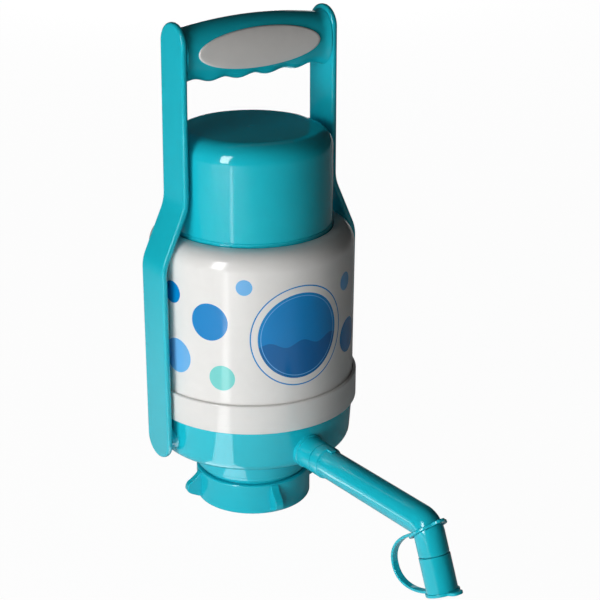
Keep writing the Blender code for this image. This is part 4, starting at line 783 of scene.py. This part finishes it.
def grip_point(x, turn, made):
    """A point of the grip's skin, at a turn round its section from the front."""
    half_h, half_d, middle, wave = grip_section(x, made)
    across, up = math.cos(turn), math.sin(turn)
    y = -half_d * math.copysign(abs(across) ** GRIP_POWER, across)
    z = half_h * math.copysign(abs(up) ** GRIP_POWER, up) + wave * max(0.0, -up)
    return (x, y, middle + z)


def grip_front(x, height, made):
    """How far the grip's front stands out at a place along it and a height."""
    half_h, half_d, middle, _ = grip_section(x, made)
    up = min(abs(height - middle) / half_h, 0.999) ** (1 / GRIP_POWER)
    return half_d * math.sqrt(1 - up * up) ** GRIP_POWER


class PUMP_OT_collar(bpy.types.Operator):
    """Winged collar that clamps the pump on a bottle's neck"""

    bl_idname = "pump.collar"
    bl_label = "Neck Collar"

    def execute(self, context):
        made = sizes()
        outer, top = made.collar_radius, node_high("neck_collar").z
        thread = outer - made.collar_wall
        chamber = node_high("neck_gasket").x + made.gap + SLACK
        lip = made.neck_radius + made.gap + SLACK * 2
        lip_low = top - made.collar_lip
        shape = bmesh.new()
        corners = [(outer, top, made.edge * 1.6), (outer, 0, made.edge * 1.6), (thread, 0, made.edge)]
        turns, groove = 3, thread + 0.0007
        pitch = (made.collar_thread - made.edge * 3) / turns
        for turn in range(turns):
            low = made.edge * 1.5 + pitch * turn
            corners += [(thread, low, 0), (groove, low + pitch * 0.3, 0),
                        (groove, low + pitch * 0.6, 0), (thread, low + pitch * 0.9, 0)]
        corners += [(thread, made.collar_thread, 0), (chamber, made.collar_thread, 0),
                    (chamber, lip_low, 0), (lip, lip_low, 0), (lip, top, made.edge)]
        turned(shape, corners)
        for number in range(made.wing_count):
            angle = made.first_wing + math.tau * number / made.wing_count
            self.add_wing(shape, angle, outer, top, made)
        finished_piece("neck_collar_shell", shape, "teal_gloss", "collar", ["neck_collar"])
        return {"FINISHED"}

    def add_wing(self, shape, angle, outer, top, made):
        """A wing with a hollow upper edge and a round tip."""
        root, tip = outer - made.collar_wall / 2, outer + made.wing_reach
        high, fall, sag, low = 0.965, 0.365, 0.035, 0.12
        outline = [(root, top * high), (outer + 0.0004, top * high)]
        for share in (0.25, 0.5, 0.75):
            height = top * (high - fall * share - sag * math.sin(math.pi * share))
            outline.append((outer + made.wing_reach * share, height))
        outline += [(tip + 0.0012, top * 0.56), (tip + 0.0004, top * 0.30), (outer + 0.0010, top * low),
                    (root, top * low)]
        rounding = (0, 0, 0, 0, 0, 0.0032, 0.0030, 0.0010, 0)
        wing = flat_plate(outline, made.wing_thickness, rounding)
        soften(wing, made.wing_edge, 4)
        stand = Matrix.Rotation(angle, 4, "Z") @ Matrix.Rotation(math.radians(90), 4, "X")
        join(shape, wing, stand)


def across_from(along):
    """The direction in the spout's plane that is square to another, towards the base."""
    return Vector((0, -along.z, along.y))


def socket_end(made):
    """Middle of the socket's front end."""
    return Vector((0, node_low("base_housing").y, made.spout_height))


def spout_knee(made):
    """Where the spout's collar ends and its slope begins."""
    return socket_end(made) + FRONT * made.spout_collar


def spout_corner(made):
    """Where the spout's two centre lines meet."""
    return socket_end(made) + FRONT * made.spout_reach + UP * made.spout_lift


def spout_turn(made):
    """How far the spout turns in its bend."""
    return (spout_corner(made) - spout_knee(made)).angle(TIP_WAY)


def on_bend(turn, made):
    """A point on the centre line of the bend after a turn, and the way there."""
    corner, along = spout_corner(made), TIP_WAY
    incoming = (corner - spout_knee(made)).normalized()
    half = spout_turn(made) / 2
    centre = corner + (along - incoming).normalized() * (made.spout_bend / math.cos(half))
    first = corner - incoming * made.spout_bend * math.tan(half) - centre
    spin = Matrix.Rotation(turn, 3, "X")
    return centre + spin @ first, spin @ incoming


def spout_stops(made, radius, collar, tip):
    """Circles along the spout: its spigot and collar, its bend, and its tip."""
    steps = 20
    bend = [(*on_bend(spout_turn(made) * step / steps, made), radius) for step in range(steps + 1)]
    corner, along = spout_corner(made), TIP_WAY
    start = [(socket_end(made) + FRONT * out, FRONT, size) for out, size in collar]
    end = [(corner + along * out, along, size) for out, size in tip]
    return start + bend + end


class PUMP_OT_spout(bpy.types.Operator):
    """Bent spout with a spigot, a keyed collar and a thinner tip"""

    bl_idname = "pump.spout"
    bl_label = "Spout"

    def execute(self, context):
        made = sizes()
        shape = bmesh.new()
        back = socket_end(made).y - node_high("spout").y
        outer = spout_stops(made, made.spout_radius, self.collar(back, made), self.tip(made))
        bore = made.spout_radius - made.spout_wall
        ends = [(back, bore), (made.spout_collar, bore)], [(made.outlet_length, bore)]
        inner = spout_stops(made, bore, *ends)
        swept(shape, outer + inner[::-1], closed=True)
        self.add_key(shape, made)
        finished_piece("spout_shell", shape, "teal_gloss", "base", ["spout"])
        return {"FINISHED"}

    def collar(self, back, made):
        """Spigot, shoulder and keyed collar, as (distance from the socket's end, radius)."""
        tube, wide, soft = made.spout_radius, node_high("spout").x, made.edge
        spigot, near, far = tube - made.spigot_step, made.gap, made.spout_collar
        return [
            (back, spigot - soft), (back + soft, spigot), (near, spigot), (near, wide - soft),
            (near + soft * 0.3, wide - soft * 0.3), (near + soft, wide), (far - soft * 1.5, wide),
            (far - soft * 0.5, wide - soft * 0.3), (far, wide - soft), (far + soft * 0.3, tube + soft * 0.2),
            (far + soft * 1.5, tube),
        ]

    def tip(self, made):
        """Step down to the tip that the cap's sleeve slides on."""
        tube, soft, start, end = made.spout_radius, made.edge, made.sleeve_from, made.outlet_length
        tip = tube - made.tip_step
        return [
            (start - soft, tube), (start - soft * 0.3, tube - soft * 0.3), (start, tube - soft), (start, tip),
            (end - soft, tip), (end, tip - soft),
        ]

    def add_key(self, shape, made):
        """The key on the collar's top and the nub below it."""
        end, collar = spout_knee(made).y, node_high("spout").x
        across, thick, soft, past, sunk = 0.0034, 0.0012, 0.0004, 0.0006, 0.0005
        for side, long in ((1, 0.0044), (-1, 0.0030)):
            key = bmesh.new()
            bmesh.ops.create_cube(key, size=1.0)
            bmesh.ops.scale(key, vec=(across, long, thick), verts=key.verts)
            soften(key, soft)
            place = Vector((0, end - long / 2 + past, made.spout_height + side * (collar - sunk)))
            join(shape, key, Matrix.Translation(place))


def washer(made, thickness, radius, bore=0.0):
    """A round plate about its own middle with a finger tab on its front, square to its own +Z."""
    shape = bmesh.new()
    soft, half = made.edge * 0.6, thickness / 2
    corners = [(radius, half, soft), (radius, -half, soft), (bore, -half, 0), (bore, half, 0)]
    turned(shape, corners, steps=96, segments=4)
    side, root = made.tab_width / 2, (radius + bore) / 2
    outline = [(-side, root), (side, root), (side, made.tab_reach), (-side, made.tab_reach)]
    tab = flat_plate(outline, thickness, (0, 0, side * 0.8, side * 0.8))
    soften(tab, soft)
    join(shape, tab)
    return shape


def aimed(seat, along):
    """Matrix from a piece's own axes (+Z along a direction in the spout's plane, +Y to the front)."""
    front = across_from(along) * -1
    turn = Matrix((front.cross(along), front, along)).transposed().to_4x4()
    return Matrix.Translation(seat) @ turn


class PUMP_OT_cap_and_strap(bpy.types.Operator):
    """Cap on the spout's tip, the ring that holds its strap, and the strap"""

    bl_idname = "pump.cap_and_strap"
    bl_label = "Spout Cap and Strap"

    def execute(self, context):
        made = sizes()
        self.add_ring(made)
        self.add_cap(made)
        self.add_strap(made)
        return {"FINISHED"}

    def ring_seat(self, made):
        """Middle of the strap's ring, which sits back on the bend, and the way through it."""
        return on_bend(spout_turn(made) - made.ring_back, made)

    def add_ring(self, made):
        """Ring round the bend with its tab."""
        ring = washer(made, made.ring_thickness, made.ring_radius, made.spout_radius + made.ring_slack)
        shape = bmesh.new()
        join(shape, ring, aimed(*self.ring_seat(made)))
        finished_piece("strap_ring", shape, "teal_supple", "base", ["cap_strap"])

    def add_cap(self, made):
        """Sleeve over the tip, with a floor, a flange and a pull tab."""
        floor = made.outlet_length + made.gap
        end = floor + made.floor_thickness
        start = made.sleeve_from + made.gap
        inner = made.spout_radius - made.tip_step + made.gap
        outer = inner + made.sleeve_wall
        soft = made.edge * 0.6
        shape = bmesh.new()
        turned(shape, [(0, end, 0), (outer, end, 0), (outer, start, soft), (inner, start, 0),
                       (inner, floor, 0), (0, floor, 0)], steps=96, segments=4)
        flange = washer(made, made.floor_thickness, outer + made.flange_step)
        middle = floor + made.gap + made.floor_thickness / 2
        join(shape, flange, Matrix.Translation((0, 0, middle)))
        bmesh.ops.transform(shape, verts=shape.verts, matrix=aimed(spout_corner(made), TIP_WAY))
        finished_piece("spout_cap_shell", shape, "teal_supple", "outlet_cap", ["spout_cap"])

    def add_strap(self, made):
        """Flat strap that bows out between the ring and the cap."""
        corner, along = spout_corner(made), TIP_WAY
        back = across_from(along)
        seat, way = self.ring_seat(made)
        root = seat + across_from(way) * (made.ring_radius - made.strap_thickness) - corner
        start, end = root.dot(along), made.outlet_length + made.gap + made.floor_thickness / 2
        flange = made.spout_radius - made.tip_step + made.gap + made.sleeve_wall + made.flange_step
        feet = (root.dot(back), flange + made.gap)
        middle, half = (start + end) / 2, (end - start) / 2
        shape = bmesh.new()
        bmesh.ops.create_grid(shape, x_segments=4, y_segments=56, size=1.0)
        for vert in shape.verts:
            share = (vert.co.y + 1) / 2
            across, out = -math.cos(math.pi * share), abs(math.sin(math.pi * share))
            reach = middle + half * math.copysign(abs(across) ** STRAP_POWER, across) + made.strap_sag * out
            foot = feet[0] + (feet[1] - feet[0]) * share
            side = Vector((vert.co.x * made.strap_width / 2, 0, 0))
            vert.co = corner + along * reach + back * (foot + made.strap_bulge * out ** STRAP_POWER) + side
        bmesh.ops.recalc_face_normals(shape, faces=shape.faces)
        bmesh.ops.solidify(shape, geom=shape.faces[:], thickness=made.strap_thickness)
        bmesh.ops.recalc_face_normals(shape, faces=shape.faces)
        soften(shape, made.edge * 0.6, 3, 60.0)
        strap = finished_piece("strap", shape, "teal_supple", None, ["cap_strap"])
        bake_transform(strap)


class PUMP_OT_inside(bpy.types.Operator):
    """Finishes of the pieces inside, and the seal and nipple seen from below"""

    bl_idname = "pump.inside"
    bl_label = "Inner Pieces"

    def execute(self, context):
        made = sizes()
        plastics = ("pump_cylinder", "cylinder_head", "valve_cage", "outlet_duct", "piston_rod", "piston")
        seals = ("flange_gasket", "intake_valve_disc", "outlet_valve_disc", "piston_ring", "spout_seal")
        metals = ("piston_screw", *(f"cylinder_screw_{number}" for number in range(1, 5)))
        for nodes, look in ((plastics, "natural_satin"), (seals, "black_rubber"), (metals, "bare_steel")):
            for node in nodes:
                painted = frame["nodes"][node].data.materials
                painted.clear()
                painted.append(finish(look))
        self.add_gasket()
        self.add_nipple()
        self.add_spring(made)
        return {"FINISHED"}

    def add_spring(self, made):
        """Wire spring between the cylinder's head and the cap."""
        low, high = node_low("return_spring"), node_high("return_spring")
        coil, points = high.x - made.spring_wire, 32
        rise = high.z - low.z - made.spring_wire * 2
        lean = rise / (math.tau * made.spring_turns)
        stops = []
        for step in range(made.spring_turns * points + 1):
            turn = math.tau * step / points
            centre = (coil * math.cos(turn), coil * math.sin(turn), low.z + made.spring_wire + lean * turn)
            way = Vector((-coil * math.sin(turn), coil * math.cos(turn), lean))
            stops.append((centre, way.normalized(), made.spring_wire))
        shape = bmesh.new()
        swept(shape, stops, sides=12)
        spring = finished_piece("spring_wire", shape, "bare_steel", "base", ["return_spring"], 60.0)
        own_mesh(spring)

    def add_gasket(self):
        """Seal for the bottle's mouth, with two moulded sealing beads."""
        low, high = node_low("neck_gasket").z, node_high("neck_gasket").z
        outer, width, bead = node_high("neck_gasket").x, 0.0097, 0.0004
        corners = [(outer, high, bead), (outer, low, bead)]
        for inset in (0.0036, 0.0064):
            corners += [(outer - inset + bead * out, low + bead * up, 0)
                        for out, up in ((1.4, 0), (1, 1), (-1, 1), (-1.4, 0))]
        corners += [(outer - width, low, bead), (outer - width, high, bead)]
        shape = bmesh.new()
        turned(shape, corners, segments=3)
        finished_piece("mouth_seal", shape, "black_rubber", "base", ["neck_gasket"])

    def add_nipple(self):
        """Barbed nipple for the dip tube."""
        low, high = node_low("dip_tube_nipple").z, node_high("dip_tube_nipple").z
        rim, flange = node_high("dip_tube_nipple").x, high - 0.0016
        shank, bore, barb = 0.0062, 0.0040, 0.0008
        corners = [(rim, high, 0), (rim, flange, 0.0004), (shank, flange, 0.0006)]
        for count in (2, 1, 0):
            foot = low + barb * 4 * count
            corners += [(shank, foot + barb * 4, 0), (shank + barb * 0.9, foot + barb * 4, 0),
                        (shank - barb * 0.2, foot + barb * 0.6, 0)]
        corners += [(shank - barb, low, 0), (bore, low, 0), (bore, high, 0)]
        shape = bmesh.new()
        turned(shape, corners, steps=96, segments=4)
        finished_piece("dip_tube_nipple_shell", shape, "natural_satin", "base", ["dip_tube_nipple"])


class PUMP_OT_stage(bpy.types.Operator):
    """Plain pale floor, soft studio light and the camera at the photograph's angle"""

    bl_idname = "pump.stage"
    bl_label = "Studio Stage"

    def execute(self, context):
        scene = context.scene
        scene.view_settings.view_transform = "Standard"
        self.add_floor()
        self.add_world(scene)
        self.add_lights()
        self.add_camera(scene)
        return {"FINISHED"}

    def floor_material(self):
        """Pale floor that the camera sees as white, with a glowing patch on the pump's left that only
        reflections see: a painted reflection source.
        """
        made = bpy.data.materials.new("pale_floor")
        made.use_nodes = True
        tree = made.node_tree
        shader = feed(tree, tree.nodes["Principled BSDF"], {
            "Base Color": (*colours().floor, 1.0), "Roughness": 0.9, "Specular IOR Level": 0.1})
        glow = add_node(tree, "ShaderNodeEmission", (0, -400), {"Color": (1.0, 1.0, 1.0, 1.0)})
        path = add_node(tree, "ShaderNodeLightPath", (-600, 400)).outputs
        place = add_node(tree, "ShaderNodeTexCoord", (-1000, 100)).outputs["Object"]
        # Painted reflection: a glowing patch left of the pump, seen only by glossy rays, which stands in for
        # a lamp.
        side = add_node(tree, "ShaderNodeVectorMath", (-800, 200), {0: place, 1: (-0.94, -0.34, 0.0)},
                        operation="DOT_PRODUCT")
        reach = add_node(tree, "ShaderNodeVectorMath", (-800, 0), {0: place}, operation="LENGTH")
        shares = [add_node(tree, "ShaderNodeMapRange", (-600, high), {
            "From Min": none, "From Max": full, "Value": measure.outputs["Value"]},
            interpolation_type="SMOOTHSTEP").outputs["Result"]
            for high, measure, none, full in ((200, side, -0.02, 0.12), (0, reach, 0.55, 0.10))]
        patch = add_math(tree, (-400, 100), "MULTIPLY", *shares)
        glossy = add_math(tree, (-200, 200), "MULTIPLY", path["Is Glossy Ray"], patch)
        share = add_math(tree, (0, 400), "MULTIPLY_ADD", path["Is Camera Ray"], 0.97, glossy)
        mixed = add_node(tree, "ShaderNodeMixShader", (300, 200), {
            0: share, 1: shader.outputs[0], 2: glow.outputs[0]})
        feed(tree, tree.nodes["Material Output"], {"Surface": mixed.outputs[0]})
        return made

    def add_floor(self):
        """A wide flat floor."""
        shape = bmesh.new()
        bmesh.ops.create_grid(shape, x_segments=1, y_segments=1, size=12.0)
        mesh = bpy.data.meshes.new("floor")
        shape.to_mesh(mesh)
        shape.free()
        mesh.materials.append(self.floor_material())
        floor = bpy.data.objects.new("floor", mesh)
        bpy.context.scene.collection.objects.link(floor)

    def add_world(self, scene):
        """White to the camera, dimmer grey for the object's own light."""
        world = bpy.data.worlds.new("studio")
        scene.world = world
        world.use_nodes = True
        tree = world.node_tree
        tree.nodes.clear()
        seen, fill = (
            add_node(tree, "ShaderNodeBackground", (0, high), {"Color": (1, 1, 1, 1), "Strength": strength})
            for high, strength in ((150, 1.0), (-50, 0.02)))
        path = add_node(tree, "ShaderNodeLightPath", (-200, 300))
        mixed = add_node(tree, "ShaderNodeMixShader", (300, 0), {
            0: path.outputs["Is Camera Ray"], 1: fill.outputs[0], 2: seen.outputs[0]})
        add_node(tree, "ShaderNodeOutputWorld", (600, 0), {"Surface": mixed.outputs[0]})

    def add_light(self, name, azimuth, elevation, distance, size, power, aim=(0, 0, 0.13), glints=False):
        """A rectangular lamp that looks at a point, for plain light or for glints in the gloss."""
        turn, rise = math.radians(azimuth), math.radians(elevation)
        way = Vector((math.sin(turn) * math.cos(rise), -math.cos(turn) * math.cos(rise), math.sin(rise)))
        across = Vector((math.cos(turn), math.sin(turn), 0))
        lamp = bpy.data.lights.new(name, "AREA")
        lamp.shape = "RECTANGLE"
        lamp.size, lamp.size_y = size
        lamp.energy = power
        holder = bpy.data.objects.new(name, lamp)
        turned_to = Matrix((across, way.cross(across), way)).transposed().to_4x4()
        holder.matrix_world = Matrix.Translation(Vector(aim) + way * distance) @ turned_to
        holder.visible_glossy = glints
        holder.visible_diffuse = not glints
        bpy.context.scene.collection.objects.link(holder)

    def add_lights(self):
        """Soft lamps from the left and behind, and lamps that only glint, two of them flat on the table."""
        self.add_light("key", -72, 8, 0.95, (0.42, 0.60), 5.6, (0, 0, 0.08))
        self.add_light("fill", -45, 25, 2.0, (0.8, 0.8), 1.5)
        self.add_light("low", -55, 6, 0.50, (0.30, 0.10), 0.55, (0, 0, 0.02))
        self.add_light("back", 148, 4, 2.0, (0.5, 0.5), 16.0)
        self.add_light("window", -70, 22, 1.2, (0.26, 0.85), 9.0, glints=True)
        self.add_light("rim", 141, 8, 1.6, (0.08, 0.60), 0.2, glints=True)
        above, lift = 0.50, 0.01
        for name, azimuth, reach, size, power in (("front table", -60, 0.50, (0.035, 0.90), 0.36),
                                                  ("back table", 141, 0.55, (0.10, 0.80), 0.40)):
            aim = Matrix.Rotation(math.radians(azimuth), 4, "Z") @ Vector((0, -reach, above + lift))
            self.add_light(name, azimuth, -90, above, size, power, aim, glints=True)

    def add_camera(self, scene):
        """Camera at the photograph's angle."""
        azimuth, tilt, roll = 34.99, 20.925, 0.301
        lens = bpy.data.cameras.new("camera")
        lens.lens = 96.0
        lens.sensor_width = 36.0
        lens.clip_start, lens.clip_end = 0.05, 50.0
        camera = bpy.data.objects.new("camera", lens)
        placed = Matrix.Translation((-0.4602, -0.7043, 0.4398))
        for degrees, axis in ((-azimuth, "Z"), (90 - tilt, "X"), (roll, "Z")):
            placed = placed @ Matrix.Rotation(math.radians(degrees), 4, axis)
        camera.matrix_world = placed
        scene.collection.objects.link(camera)
        scene.camera = camera


class PUMP_PT_panel(bpy.types.Panel):
    """The pump's pieces and stage in the sidebar"""

    bl_idname = "PUMP_PT_panel"
    bl_label = "Hand Pump"
    bl_space_type = "VIEW_3D"
    bl_region_type = "UI"
    bl_category = "Hand Pump"

    def draw(self, context):
        for operator in OPERATORS:
            self.layout.operator(operator.bl_idname)


OPERATORS = (
    PUMP_OT_base, PUMP_OT_band, PUMP_OT_barrel, PUMP_OT_cap, PUMP_OT_handle, PUMP_OT_collar,
    PUMP_OT_spout, PUMP_OT_cap_and_strap, PUMP_OT_inside, PUMP_OT_stage,
)
CLASSES = (PumpSizes, PumpColours, *OPERATORS, PUMP_PT_panel)


def register():
    """Register the classes and hang the settings on the scene."""
    for kind in CLASSES:
        bpy.utils.register_class(kind)
    bpy.types.Scene.pump_sizes = PointerProperty(type=PumpSizes)
    bpy.types.Scene.pump_colours = PointerProperty(type=PumpColours)


def unregister():
    """Take the settings and the classes away."""
    del bpy.types.Scene.pump_colours
    del bpy.types.Scene.pump_sizes
    for kind in reversed(CLASSES):
        bpy.utils.unregister_class(kind)


def main():
    """Register the settings, dress the pump and set the stage."""
    register()
    bpy.ops.pump.base()
    bpy.ops.pump.band()
    bpy.ops.pump.barrel()
    bpy.ops.pump.cap()
    bpy.ops.pump.handle()
    bpy.ops.pump.collar()
    bpy.ops.pump.spout()
    bpy.ops.pump.cap_and_strap()
    bpy.ops.pump.inside()
    bpy.ops.pump.stage()


if __name__ == "__main__":
    main()
